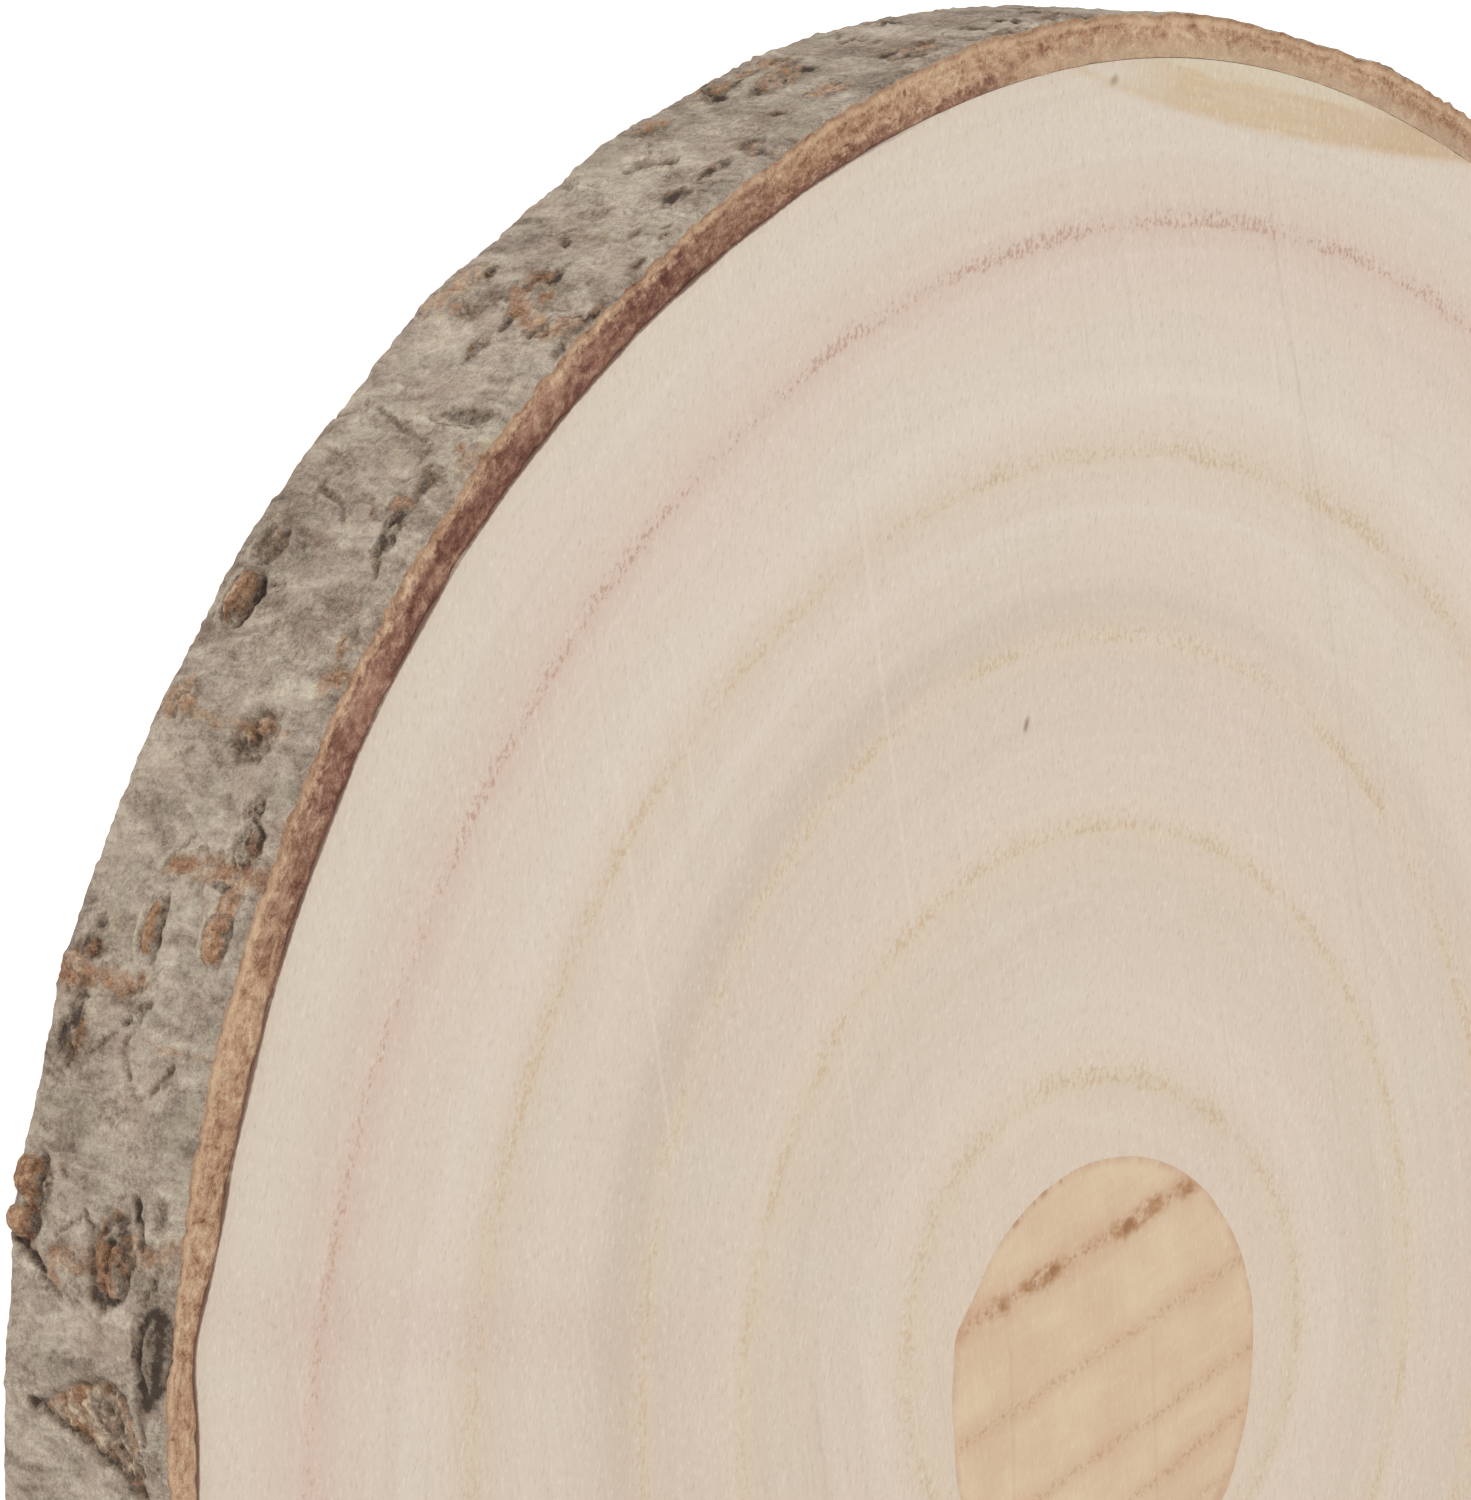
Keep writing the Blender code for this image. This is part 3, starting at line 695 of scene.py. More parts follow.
def make_bark():
    """The ring of bark: its wall, the two sawn faces and the inner side, closed on itself."""
    wall = Wall()
    outer = wavy(BARK_RADIUS, BARK_WAVES, wall.D) + wall.relief
    foot = wall.D[:, :1], wall.H[:, :1]
    broken = round_noise(*foot, 420, 31) + round_noise(*foot, 1300, 32)
    lip = 0.5 * smooth(0.6, 0, wall.H) + smooth(THICKNESS - 0.6, THICKNESS, wall.H)
    worn = smooth(THICKNESS - 0.7, THICKNESS, wall.H) * smooth(200, 214, wall.D) * smooth(300, 284, wall.D)
    outer = outer - lip * (0.10 + 0.12 * broken) - worn * 0.30
    inner = rim_radius(wall.direction)[:, None] + 0.02
    radii, heights, share_of = [outer], [wall.H], [np.ones_like(outer)]
    for shares, level, side, seed in ((CUT_SHARES, THICKNESS, 1, 41), (UNDER_SHARES, 0.0, -1, 51)):
        edge = outer[:, -1:] if side > 0 else outer[:, :1]
        share = np.repeat(shares[None, :], WALL_COLUMNS, 0)
        dip = cut_relief(np.repeat(wall.direction[:, None], len(shares), 1), share, seed)
        radii.append(inner + (edge - inner) * share)
        heights.append(level + side * dip)
        share_of.append(share)
    radius, height = np.concatenate(radii, 1), np.concatenate(heights, 1)
    rows = radius.shape[1]
    points = around(MIDDLE, wall.direction, radius, height)
    obj = make_object("bark_ring", points, closed_strip(WALL_COLUMNS, rows), bark_wall_material(), 50)
    blank = np.zeros((WALL_COLUMNS, rows - WALL_ROWS))
    # dark and pale carry the bark's own dark and pale with painted shade and painted highlight; hollow is
    # painted as shade and highlight
    masks = {"cork": wall.cork, "dark": wall.dark, "pale": wall.pale, "hollow": wall.hollows()}
    for name, values in masks.items():
        mark(obj, name, np.concatenate([values, blank], 1))
    mark(obj, "share", np.concatenate(share_of, 1))
    row_of = np.tile(np.arange(rows), WALL_COLUMNS)
    obj.data.materials.append(bark_cut_material())
    obj.data.polygons.foreach_set("material_index", (row_of >= WALL_ROWS - 1).astype(np.int32))
    obj.data.update()
    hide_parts("bark")
    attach(obj, "root")


FACE_COLUMNS = 720
FACE_ROWS = 100
UNDER_ROWS = 30


def growth_at(direction, radius, rim):
    """Whole numbers on the growth rings, 0 at the pith and 6 at the rim, even steps between."""
    edges = [0 * direction] + [wavy(r, w, direction) for r, w in RINGS] + [rim]
    out = np.zeros_like(radius)
    for k, (low, high) in enumerate(zip(edges, edges[1:])):
        out = np.where(radius >= low, k + (radius - low) / (high - low), out)
    return out


def plug_edge(direction):
    """The plug's edge: round but for three flatter stretches and two slight corners."""
    edge = PLUG_RADIUS + 0.05 * round_noise(direction, 0 * direction, 60, 61)
    swells = (248, -0.15, 6), (286, -0.45, 10), (261, 0.45, 6), (58, 0.6, 14), (97, -0.30, 16)
    for where, swell, width in swells:
        edge = edge + swell * bell(apart(direction, where), 0, width)
    return edge


def make_wood():
    """The disc of wood: upper face, rim, underside and the bore for the plug, on one polar grid."""
    direction = np.arange(FACE_COLUMNS) * 360 / FACE_COLUMNS
    rim = rim_from_pith(direction)[:, None]
    bore = plug_edge(direction)[:, None]
    share = np.concatenate([np.linspace(0, 1, FACE_ROWS), np.linspace(1, 0, UNDER_ROWS)])
    high = np.concatenate([np.full(FACE_ROWS, THICKNESS), np.zeros(UNDER_ROWS)])
    radius = bore + (rim - 0.02 - bore) * share
    points = around(PITH, direction, radius, high + 0 * radius)
    faces = closed_strip(FACE_COLUMNS, len(share), turned=True)
    obj = make_object("wood_disc", points, faces, wood_material(), 40)
    mark(obj, "growth", growth_at(direction[:, None] + 0 * radius, radius, rim + 0 * radius))
    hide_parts("wood")
    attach(obj, "root")


def make_plug():
    """The plug: a disc whose edge is a little uneven where it was tapped in, flush with both faces."""
    rows = 10
    direction = np.arange(FACE_COLUMNS) * 360 / FACE_COLUMNS
    share = np.concatenate([np.linspace(0.02, 1, rows), np.linspace(1, 0.02, rows)])
    high = np.concatenate([np.full(rows, THICKNESS), np.zeros(rows)])
    high[rows - 1 : rows + 1] += (-0.015, 0.015)
    radius = plug_edge(direction)[:, None] * share
    points = around(PITH, direction, radius, high + 0 * radius).tolist()
    faces = closed_strip(FACE_COLUMNS, 2 * rows, False, True)
    top, bottom = len(points), len(points) + 1
    points += [[*PITH, THICKNESS], [*PITH, 0.0]]
    for here in range(0, top, 2 * rows):
        after = (here + 2 * rows) % top
        faces += [[top, here, after], [bottom, after + 2 * rows - 1, here + 2 * rows - 1]]
    obj = make_object("plug_core", points, faces, plug_material(), 40)
    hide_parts("plug")
    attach(obj, "root")


# Materials

FACE_LIGHT = 1.105  # how brightly the studio lights a flat face, against a face of plain white seen as white
WALL_LIGHT = 1.125
CUT_LIGHT = 1.075


def linear(r, g, b, light):
    """The surface colour that looks like this on screen, 0 to 255, once lit."""
    screen = np.array([r, g, b]) / 255
    plain = np.where(screen <= 0.04045, screen / 12.92, ((screen + 0.055) / 1.055) ** 2.4)
    return (*(plain / light), 1.0)


class Value:
    """What a node gives. Numbers can be added, taken away and multiplied as in plain sums."""

    def __init__(self, shader, socket):
        self.shader, self.socket = shader, socket

    def __add__(self, other):
        return self.shader.math("ADD", self, other)

    def __sub__(self, other):
        return self.shader.math("SUBTRACT", self, other)

    def __rsub__(self, other):
        return self.shader.math("SUBTRACT", other, self)

    def __mul__(self, other):
        return self.shader.math("MULTIPLY", self, other)

    def __abs__(self):
        return self.shader.math("ABSOLUTE", self)


class Shader:
    """A principled material, the tone it has so far, and short ways to wire its nodes."""

    def __init__(self, name, roughness, specular, light=FACE_LIGHT):
        self.material = bpy.data.materials.new(name)
        self.material.use_nodes = True
        self.tree = self.material.node_tree
        self.out = self.tree.nodes["Principled BSDF"]
        self.out.inputs["Roughness"].default_value = roughness
        self.out.inputs["Specular IOR Level"].default_value = specular
        self.light, self.tone = light, None

    def put(self, kind, inputs=(), **settings):
        node = self.tree.nodes.new(kind)
        for key, value in settings.items():
            setattr(node, key, value)
        for key, value in dict(inputs).items():
            self.feed(node.inputs[key], value)
        return node

    def feed(self, socket, value):
        if isinstance(value, Value):
            self.tree.links.new(value.socket, socket)
        else:
            socket.default_value = value

    def give(self, kind, inputs=(), output=0, **settings):
        """One output of a new node."""
        return Value(self, self.put(kind, inputs, **settings).outputs[output])

    def math(self, operation, a, b=0.0, c=0.0):
        return self.give("ShaderNodeMath", {0: a, 1: b, 2: c}, operation=operation)

    def vector(self, operation, a, b=(0, 0, 0), output=0):
        return self.give("ShaderNodeVectorMath", {0: a, 1: b}, output, operation=operation)

    def step(self, value, low, high, to_low=0.0, to_high=1.0):
        """A smooth step; low may be above high."""
        if low > high:
            low, high, to_low, to_high = high, low, to_high, to_low
        inputs = {0: value, 1: low, 2: high, 3: to_low, 4: to_high}
        return self.give("ShaderNodeMapRange", inputs, interpolation_type="SMOOTHSTEP")

    def shifted(self, value, *fields):
        """A value moved by noise fields, each by its own amount."""
        for field, amount in fields:
            value = self.math("MULTIPLY_ADD", field - 0.5, amount, value)
        return value

    def colour(self, tone):
        """The surface colour for a tone seen on screen; what a node gives stays as it is."""
        return tone if isinstance(tone, Value) else linear(*tone, self.light)

    def mix(self, factor, a, b):
        inputs = {0: factor, 6: self.colour(a), 7: self.colour(b)}
        return self.give("ShaderNodeMix", inputs, 2, data_type="RGBA")

    def lay(self, mask, *tone):
        """Lays a tone over the one so far, where the mask is above 0."""
        self.tone = self.mix(mask, self.tone, tone if len(tone) == 3 else tone[0])

    def tint(self, value, low, high, amount, *tone):
        """Lays a tone over the one so far, by up to an amount where a value goes from low to high."""
        self.lay(self.step(value, low, high, 0.0, amount), *tone)

    def ramp(self, value, stops):
        """Tones as they are on screen, blended between the places given first."""
        node = self.put("ShaderNodeValToRGB", {0: value})
        elements = node.color_ramp.elements
        while len(elements) < len(stops):
            elements.new(0.5)
        for element, (place, *tone) in zip(elements, stops):
            element.position = place
            element.color = self.colour(tone)
        return Value(self, node.outputs[0])

    def noise(self, vector, scale, detail=2.0, rough=0.5, warp=0.0):
        inputs = {"Vector": vector, "Scale": scale, "Detail": detail, "Roughness": rough, "Distortion": warp}
        return self.give("ShaderNodeTexNoise", inputs)

    def attribute(self, name):
        return self.give("ShaderNodeAttribute", output="Fac", attribute_name=name)

    def place(self, about=(0, 0)):
        """Position in millimetres from a point of the underside's plane."""
        coords = self.give("ShaderNodeTexCoord", output="Object")
        scaled = self.give("ShaderNodeVectorMath", {0: coords, "Scale": 1 / MM}, operation="SCALE")
        return self.vector("SUBTRACT", scaled, (*about, 0))

    def split(self, vector):
        return [Value(self, part) for part in self.put("ShaderNodeSeparateXYZ", {0: vector}).outputs]

    def join(self, x, y=0.0, z=0.0):
        return self.give("ShaderNodeCombineXYZ", {0: x, 1: y, 2: z})

    def turned(self, flat, angle):
        """Both parts of a flat vector, on axes that are turned by an angle."""
        inputs = {"Vector": flat, "Angle": -angle}
        return self.split(self.give("ShaderNodeVectorRotate", inputs, rotation_type="Z_AXIS"))[:2]

    def finish(self, relief=None, depth=0.0, strength=1.0):
        """Gives the material its tone, and bumps of so many millimetres."""
        self.feed(self.out.inputs["Base Color"], self.tone)
        if relief is not None:
            inputs = {"Height": relief, "Distance": depth * MM, "Strength": strength}
            self.feed(self.out.inputs["Normal"], self.give("ShaderNodeBump", inputs))
        return self.material


def bark_wall_material():
    s = Shader("bark_wall", 0.88, 0.2, WALL_LIGHT)
    p = s.place(MIDDLE)
    x, y, z = s.split(p)
    upright = s.join(x, y, z * 0.45)
    fine, grain, broad = s.noise(p, 2.6, 3, 0.7, 0.5), s.noise(p, 7.0, 2, 0.7), s.noise(p, 0.11, 2)
    blooms, wrinkles = s.noise(upright, 0.34, 2, 0.6, 0.7), s.noise(upright, 0.95, 3, 0.65, 0.8)
    hue, flecks = s.noise(p, 0.22, 3, 0.6, 0.5), s.noise(p, 1.7, 2, 0.6, 0.4)
    mottle = s.noise(p, 1.15, 3, 0.65, 0.9)
    # brightness: broad patches, blooms, wrinkles and grain added up
    light = s.shifted(0.5, (broad, 0.35), (blooms, 0.72), (wrinkles, 0.55), (fine, 0.52), (grain, 0.34))
    # painted shade in the wall's hollows and painted highlight on its ridges
    light = s.attribute("hollow") * 0.10 + light
    s.tone = s.ramp(light, (
        (0.12, 84, 71, 60), (0.30, 126, 111, 97), (0.42, 153, 138, 123), (0.50, 169, 154, 138),
        (0.60, 184, 170, 153), (0.72, 201, 188, 168), (0.88, 222, 210, 188),
    ))
    s.tint(hue, 0.52, 0.68, 0.30, 172, 145, 128)
    s.tint(hue, 0.47, 0.32, 0.28, 172, 166, 140)
    s.tint(flecks, 0.62, 0.76, 0.45, 206, 190, 150)
    # cork, raw and orange-brown
    cork = s.ramp(s.shifted(0.5, (wrinkles, 0.8), (fine, 0.9), (grain, 0.4)), (
        (0.18, 98, 66, 46), (0.38, 146, 104, 75), (0.50, 174, 131, 99),
        (0.64, 194, 154, 119), (0.85, 220, 190, 154),
    ))
    cork = s.mix(s.step(hue, 0.46, 0.34, 0.0, 0.35), cork, (168, 138, 98))
    cork_mask = s.shifted(s.attribute("cork"), (fine, 0.45), (mottle, 0.40))
    s.tint(cork_mask, 0.10, 0.72, 0.90, cork)
    # pale bark and painted highlights on lips and ridges
    s.tint(s.shifted(s.attribute("pale"), (fine, 0.7)), 0.25, 0.95, 0.70, 212, 196, 168)
    # dark bark and painted shade: soft brown at first, then nearly black
    dark = s.attribute("dark")
    grit = s.shifted(0.0, (grain, -0.5), (fine, -0.9), (mottle, -0.9))
    brown = s.mix(s.step(flecks, 0.48, 0.60, 0.0, 0.7), (106, 89, 74), (128, 104, 74))
    brown = s.mix(s.step(cork_mask, 0.15, 0.65), brown, (118, 82, 56))
    s.tint(dark + grit * 0.6, 0.06, 0.62, 0.66, brown)
    s.tint(dark + grit, 0.46, 1.02, 0.88, 58, 46, 38)
    return s.finish(light, 0.85, 0.8)


SAW_ANGLE = math.radians(22.5)


class Face:
    """Where a point of a sawn face lies about a centre, and the marks that both kinds of end grain share."""

    def __init__(self, s, centre):
        self.s = s
        self.p = s.place(centre)
        self.x, self.y, self.z = s.split(self.p)
        self.flat = s.join(self.x, self.y)
        self.ux, self.uy, _ = s.split(s.vector("NORMALIZE", self.flat))

    def radius(self):
        return self.s.vector("LENGTH", self.flat, output="Value")

    def towards(self, degrees, *step):
        """A smooth step over a number that is 1 in one direction and -1 in the opposite one."""
        turn = math.radians(degrees)
        return self.s.step(self.ux * math.cos(turn) + self.uy * math.sin(turn), *step)

    def round_about(self, turns, outward=0.0):
        """A place for noise that runs round the centre turns times faster than a circle."""
        return self.s.join(self.ux * turns, self.uy * turns, outward)

    def segment(self, x0, y0, x1, y1, width):
        """1 on a line between two places, fading to 0 at the given half width."""
        long = math.hypot(x1 - x0, y1 - y0)
        ax, ay = (x1 - x0) / long, (y1 - y0) / long
        dx, dy = self.x - x0, self.y - y0
        along, across = dx * ax + dy * ay, dy * ax - dx * ay
        inside = self.s.step(along, -0.4, 0.4) * self.s.step(along, long + 0.4, long - 0.4)
        return self.s.step(abs(across), width, 0.0) * inside

    def pores(self, amount=1.0):
        """Lays fine fibre ends, a little longer one way, and gives their noise."""
        s = self.s
        pores = s.noise(s.join(self.x * 1.5, self.y * 3.6, self.z), 1.0, 2, 0.65)
        s.tint(pores, 0.46, 0.24, 0.30 * amount, 170, 152, 134)
        s.tint(pores, 0.54, 0.76, 0.34 * amount, 238, 229, 216)
        s.tint(s.noise(self.p, 4.2, 1), 0.30, 0.18, 0.5 * amount, 176, 158, 140)
        return pores

    def saw(self, amount=1.0):
        """Lays straight marks of the saw, in patches, and gives their noise."""
        s = self.s
        x, y = s.turned(self.flat, SAW_ANGLE)
        lines = s.noise(s.join(x * 0.016, y, self.z * 3.0), 1.9, 3, 0.75)
        fine = s.noise(s.join(x * 0.05, y * 3.4, self.z), 1.0, 1)
        where = s.step(s.noise(self.flat, 0.03, 2), 0.40, 0.62, 0.25, 1.0)
        s.lay(s.step(lines, 0.56, 0.74) * where * (0.26 * amount), 232, 223, 210)
        s.lay(s.step(lines, 0.45, 0.29) * where * (0.20 * amount), 184, 166, 149)
        s.tint(fine, 0.55, 0.8, 0.10 * amount, 232, 223, 210)
        return lines


def bark_cut_material():
    s = Shader("bark_cut", 0.8, 0.25, CUT_LIGHT)
    f = Face(s, MIDDLE)
    share = s.attribute("share")
    layers = s.noise(f.round_about(30.0, share * 5.0), 1.0, 3, 0.62, 0.5)
    blots = s.noise(f.round_about(75.0, share * 5.0), 1.0, 3, 0.62, 0.8)
    slow = s.noise(f.round_about(9.0, share * 1.2), 1.0, 2)
    crumbs, grain = s.noise(f.p, 2.3, 3, 0.7, 0.6), s.noise(f.p, 6.0, 2, 0.7)
    chunks, pits = s.noise(f.p, 0.85, 3, 0.6, 0.8), s.noise(f.p, 0.62, 2, 0.5, 0.6)
    fields = (layers, 0.35), (blots, 0.60), (crumbs, 0.52), (grain, 0.42), (slow, 0.40), (chunks, 0.70)
    light = s.shifted(0.5, *fields)
    tan = s.ramp(light, (
        (0.20, 130, 86, 62), (0.38, 166, 126, 98), (0.50, 184, 148, 118),
        (0.62, 199, 167, 135), (0.85, 224, 198, 166),
    ))
    red = s.ramp(light, (
        (0.20, 78, 44, 38), (0.38, 110, 70, 56), (0.50, 131, 91, 75),
        (0.62, 154, 115, 95), (0.85, 190, 158, 134),
    ))
    # the red layer next to the wood, on one side of the slice
    two_toned = f.towards(236.5, 0.912, 0.972)
    wander = s.shifted(share, (blots, 0.55), (layers, 0.45), (crumbs, 0.25))
    patchy = s.step(s.noise(f.round_about(16.0, share * 0.8), 1.0, 2), 0.36, 0.56, 0.78, 1.0)
    inner = s.step(wander, 0.96, 0.58) * (two_toned * 0.95 + 0.05) * patchy
    stretch = f.towards(229.5, 0.870, 0.885) * s.step(wander, 0.34, 0.12) * 0.75
    s.tone = s.mix(s.math("MAXIMUM", inner, stretch), tan, red)
    s.tint(chunks, 0.38, 0.28, 0.50, 128, 80, 58)
    s.tint(pits, 0.30, 0.24, 0.75, 108, 66, 48)
    s.tint(slow, 0.55, 0.75, 0.25, 190, 140, 118)
    # the outermost fibres: a bright line, a darker one and a worn edge
    brim = s.shifted(share, (blots, 0.16), (crumbs, 0.16))
    bright = s.step(brim, 0.72, 0.80) * s.step(brim, 0.92, 0.85)
    s.lay(bright * (two_toned * -0.22 + 0.42), 216, 184, 148)
    s.tint(brim, 0.88, 0.95, 0.40, 172, 134, 104)
    s.lay(s.step(wander, 0.55, 0.15) * f.towards(176, 0.88, 0.96) * 0.6, 198, 172, 144)
    # the dark line next to the wood, clearest on one side: inner bark, partly painted shade of the groove
    # there
    line = s.step(s.shifted(share, (blots, 0.10)), 0.12, 0.0)
    s.lay(line * f.towards(248, 0.67, 0.83) * 0.55, 110, 72, 60)
    s.tint(brim, 0.965, 1.0, 0.6, 190, 166, 138)
    return s.finish(light, 0.35, 0.7)


# The face's tone at each growth ring, 0 at the pith and 6 at the rim.
FACE_TONES = (
    (1.00, 214, 196, 175), (1.20, 217, 200, 182), (1.50, 213, 195, 176), (1.80, 210, 193, 173),
    (2.00, 213, 195, 174), (2.15, 215, 197, 178), (2.50, 212, 194, 176), (2.90, 210, 192, 173),
    (3.05, 212, 194, 174), (3.25, 211, 193, 174), (3.45, 213, 196, 177), (3.70, 215, 199, 181),
    (3.90, 212, 195, 176), (4.02, 211, 192, 172), (4.30, 217, 202, 185), (4.60, 213, 197, 179),
    (4.80, 213, 194, 177), (4.97, 211, 189, 172), (5.12, 212, 191, 173), (5.35, 211, 194, 176),
    (5.60, 213, 199, 181), (5.90, 212, 197, 178), (6.00, 206, 188, 168),
)

# Marks on the upper face, in millimetres from the pith: both ends, half width, strength.
DARK_SCRATCHES = (
    (-93.2, -1.7, -86.3, 1.2, 0.30, 0.20),
    (-86.3, 1.2, -71.4, 9.2, 0.34, 0.15),
    (-71.4, 9.2, -27.6, 26.5, 0.36, 0.12),
    (-48.4, -19.9, -49.4, -19.8, 0.42, 1.3),
    (-97.3, -20.8, -97.9, -20.2, 0.60, 1.0),
)
PALE_SCRATCHES = (
    (-41.4, -62.2, -13.8, -50.6, 0.34, 0.30),
    (-63.3, -41.4, -32.2, -28.8, 0.36, 0.30),
)


def wood_material():
    s = Shader("end_grain", 0.62, 0.3)
    f = Face(s, PITH)
    on_top = s.step(f.z, THICKNESS * 0.5, THICKNESS * 0.5 + 0.2)
    growth = s.shifted(s.attribute("growth"), (s.noise(f.flat, 0.16, 2), 0.05))
    s.tone = s.ramp(growth * (1 / 6), [(place / 6, *tone) for place, *tone in FACE_TONES])
    # blushes of pink and of green, some millimetres across
    blush = s.noise(f.flat, 0.045, 2)
    s.tint(blush, 0.50, 0.72, 0.35, 216, 194, 180)
    s.tint(blush, 0.46, 0.30, 0.35, 211, 201, 182)
    # soft bands that follow the rings
    bands = s.noise(f.round_about(1.1, growth * 8.5), 1.0, 3, 0.62)
    s.tint(bands, 0.52, 0.70, 0.18, 226, 214, 200)
    s.tint(bands, 0.48, 0.30, 0.15, 190, 174, 157)
    # painted light: the face is a little paler towards the far side
    s.tint(f.x, 30.0, -95.0, 0.13, 242, 234, 222)
    # the dim band outside the third ring, clearest on one side
    dim = s.step(growth, 3.03, 3.13) * s.step(growth, 3.42, 3.2)
    s.lay(dim * f.towards(238, 0.3, 1.0, 0.1, 1.0) * 0.34, 190, 172, 154)
    # rings: a dotted line with short ticks on its outer side, the fifth one pink
    whole = s.math("FLOOR", growth + 0.5)
    pink, on_ring = s.step(whole, 4.4, 4.6), s.step(whole, 5.6, 5.4)
    coarse = s.noise(f.round_about(75.0), 1.0, 3, 0.7)
    dots = s.noise(s.join(f.x, f.y * 1.4), 1.7, 3, 0.7)
    off = s.shifted((growth - whole) * 15.0, (coarse, 1.1))
    spread = s.step(off, 2.9, 0.2) * s.step(off, -0.55, 0.1)
    keen = s.step(s.noise(f.round_about(7.0, whole), 1.0, 2), 0.34, 0.62, 0.45, 1.0)
    far = f.towards(180, -0.2, 0.9)
    speck = s.step(dots - (0.66 - spread * keen * 0.20), -0.02, 0.09) * spread
    speck = speck * on_ring * (pink * 0.16 + far * 0.10 + 0.38)
    core = s.step(off, 1.0, 0.1) * s.step(off, -0.5, 0.0) * on_ring * (pink * 0.15 + 0.15)
    wide = s.step(off, 4.2, 0.4) * s.step(off, -3.0, 0.0) * on_ring
    wash = s.mix(pink, (212, 190, 152), (207, 178, 158))
    s.lay(wide * (pink * 0.08 + 0.10), wash)
    s.lay(core * keen, wash)
    s.lay(speck, s.mix(pink, (192, 160, 118), s.mix(far, (184, 140, 110), (174, 133, 111))))
    rays = s.noise(f.round_about(120.0, f.radius() * 0.06), 1.0, 1)
    s.tint(rays, 0.60, 0.8, 0.10, 232, 222, 208)
    # where a branch began: a pinkish trace towards the knot, with brown spots
    trace = s.step(abs(f.x + coarse * 1.5), 4.6, 0.6) * s.step(f.y, -40.0, -60.0) * on_top
    s.lay(trace * 0.22, 205, 178, 166)
    s.lay(trace * s.step(dots, 0.58, 0.72) * s.step(f.y, -45.0, -52.0) * 0.5, 186, 148, 116)
    # a crescent of yellow bark-side wood on the far rim
    away, beside = f.x * -1.0, f.y + 8.0
    bow = beside * beside * s.step(f.y, -8.5, -7.5, 0.0045, 0.0016)
    depth = s.shifted(away - (bow + 96.6), (coarse, 0.5))
    streaky = s.noise(s.join(f.x * 1.6, f.y * 0.14), 1.0, 3, 0.6)
    yellow = s.mix(s.step(streaky, 0.30, 0.70), (206, 181, 147), (211, 190, 160))
    yellow = s.mix(s.step(f.y, 0.0, 16.0, 0.0, 0.75), yellow, (200, 171, 139))
    upper = s.step(s.shifted(away, (streaky, 1.6)), 99.4, 100.3) * s.step(f.y, 18.0, 4.0)
    yellow = s.mix(upper, yellow, (213, 198, 173))
    yellow = s.mix(s.step(f.y, -12.5, -17.5), yellow, (210, 193, 168))
    yellow = s.mix(s.step(dots, 0.60, 0.75, 0.0, 0.25), yellow, (184, 154, 116))
    s.lay(s.step(depth, -0.25, 0.35) * on_top * s.step(f.y, -21.5, -17.0) * 0.95, yellow)
    s.lay(s.step(abs(depth), 0.7, 0.0) * on_top * 0.30, 204, 172, 132)
    pores, lines = f.pores(), f.saw()
    for tone, scratches in (((152, 128, 106), DARK_SCRATCHES), ((232, 224, 212), PALE_SCRATCHES)):
        for *ends, width, strength in scratches:
            s.lay(f.segment(*ends, width) * on_top * (0.7 * strength), *tone)
    # the dark line of inner bark at the rim, clearest on one side, where it is partly painted shade of the
    # groove between wood and bark
    rim = s.step(s.shifted(growth, (dots, 0.020)), 5.984, 5.998)
    s.lay(rim * f.towards(248, 0.67, 0.83, 0.0, 0.80), 116, 80, 66)
    return s.finish(pores * 0.6 + lines * 0.5, 0.05, 0.6)


# Rings of the plug: distance of each from the middle, its slope, half width and strength.
PLUG_RINGS = (
    (10.9, 0.0, 0.95, 1.0),
    (2.45, 0.01, 0.85, 0.62),
    (-5.1, 0.03, 0.80, 0.62),
    (-10.4, 0.10, 0.80, 0.62),
    (-14.0, 0.06, 0.70, 0.50),
)
PLUG_BLOTS = ((7.0, 3.0), (-4.6, 2.4), (12.7, 1.0), (-9.4, 1.0))  # place along the first ring, half length
PLUG_SCRATCHES = ((-2.0, -11.4, 17.0, -6.6), (-4.0, 4.6, 16.0, 10.0))
PLUG_TURN = math.radians(117.8)


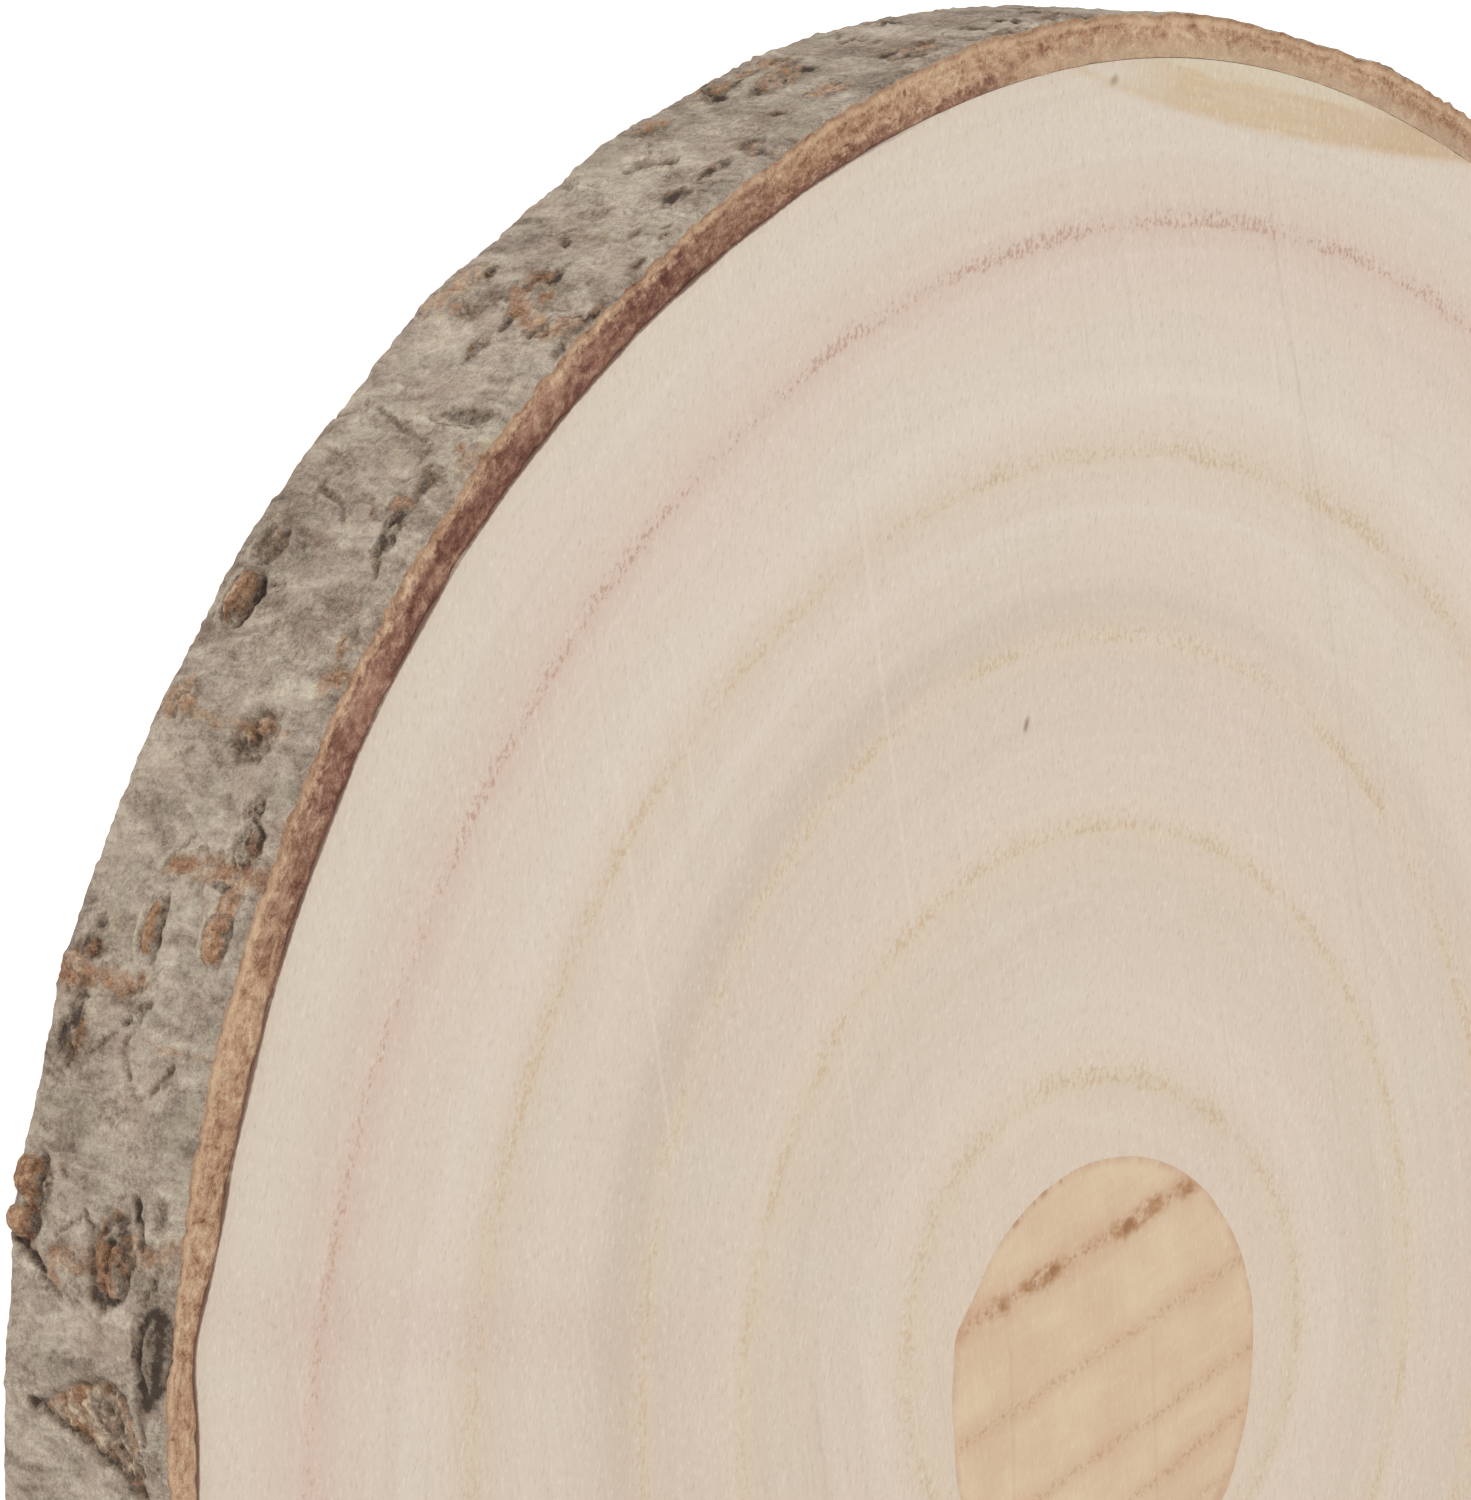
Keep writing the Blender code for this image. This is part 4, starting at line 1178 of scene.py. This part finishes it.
def plug_material():
    s = Shader("plug_grain", 0.6, 0.3)
    f = Face(s, PITH)
    a, b = s.turned(f.flat, PLUG_TURN)
    dots, patches = s.noise(f.flat, 2.2, 2, 0.6), s.noise(f.flat, 0.30, 2)
    grain = s.noise(s.join(a * 0.10, b * 0.9), 1.0, 3, 0.6)
    slack = s.noise(s.join(a * 0.28), 1.0, 3, 0.7)
    blots = s.noise(s.join(a * 0.55, b * 0.75), 1.0, 2, 0.6, 0.6)
    s.tone = s.mix(s.step(s.noise(f.flat, 0.14, 2), 0.35, 0.65), (211, 182, 151), (217, 192, 161))
    s.tint(grain, 0.52, 0.72, 0.35, 222, 198, 168)
    s.tint(grain, 0.46, 0.28, 0.22, 206, 172, 140)
    heavy = 0.0
    for where, half in PLUG_BLOTS:
        heavy = s.math("MAXIMUM", heavy, s.step(abs(a - where), half + 0.8, half - 0.8))
    for where, slope, half, strength in PLUG_RINGS:
        ragged = s.shifted(abs(s.shifted(b - where + a * -slope, (slack, 1.8))), (dots, 0.7))
        core = s.step(ragged, half, 0.0)
        wash = s.step(ragged, half * 2.6, 0.1) * s.step(patches, 0.34, 0.62, 0.35, 1.0)
        s.lay(wash * (0.60 * strength), 198, 156, 122)
        s.lay(core * s.step(dots, 0.48, 0.62, 0.05, 1.0) * (0.80 * strength), 172, 128, 92)
        if strength == 1:
            s.lay(s.step(blots, 0.38, 0.52) * s.step(ragged, half * 1.3, 0.3) * heavy * 0.75, 166, 118, 74)
            s.lay(s.step(blots, 0.53, 0.62) * core * heavy * 0.60, 142, 94, 56)
    # the glued edge, browner in places
    radius = f.radius()
    edge = s.noise(f.round_about(14.0), 1.0, 2, 0.6)
    brim = s.step(radius, PLUG_RADIUS - 0.9, PLUG_RADIUS)
    s.lay(brim * s.step(edge, 0.36, 0.62, 0.15, 0.55), 190, 148, 118)
    tips = s.step(radius, PLUG_RADIUS - 0.6, PLUG_RADIUS - 0.2) * s.step(edge, 0.52, 0.62)
    s.lay(tips * f.towards(227, 0.90, 0.97) * 0.55, 158, 114, 86)
    pores = f.pores(0.55)
    f.saw(0.6)
    for ends in PLUG_SCRATCHES:
        s.lay(f.segment(*ends, 0.35) * 0.12, 168, 124, 92)
    return s.finish(pores * 0.6 + grain * 0.4, 0.05, 0.6)


def floor_material():
    s = Shader("light_table", 0.9, 0.1)
    s.out.inputs["Emission Color"].default_value = (1, 1, 1, 1)
    s.out.inputs["Emission Strength"].default_value = 0.55
    s.tone = s.step(s.noise(s.place(), 0.8, 3), 0.3, 0.7, 0.90, 0.92)
    return s.finish()


# Stage

def make_stage():
    corners = [(-900, -900, -0.2), (900, -900, -0.2), (900, 900, -0.2), (-900, 900, -0.2)]
    floor = make_object("floor", corners, [(0, 1, 2, 3)], floor_material(), 30)
    world = bpy.data.worlds.new("studio")
    world.use_nodes = True
    background = world.node_tree.nodes["Background"]
    background.inputs[0].default_value = (1, 1, 1, 1)
    background.inputs[1].default_value = 0.62
    bpy.context.scene.world = world
    bpy.context.scene.view_settings.view_transform = "Standard"
    add_light("key", (-40, -100, 90), 1.55, 50)
    add_light("fill", (60, 60, 130), 0.60, 70)


def add_light(name, place, power, spread):
    """Even light from far off in one direction, softened over so many degrees."""
    data = bpy.data.lights.new(name, "SUN")
    data.energy = power
    data.angle = math.radians(spread)
    light = bpy.data.objects.new(name, data)
    light.rotation_euler = (-Vector(place)).to_track_quat("-Z", "Y").to_euler()
    bpy.context.scene.collection.objects.link(light)


make_camera()
make_stage()
make_bark()
make_wood()
make_plug()
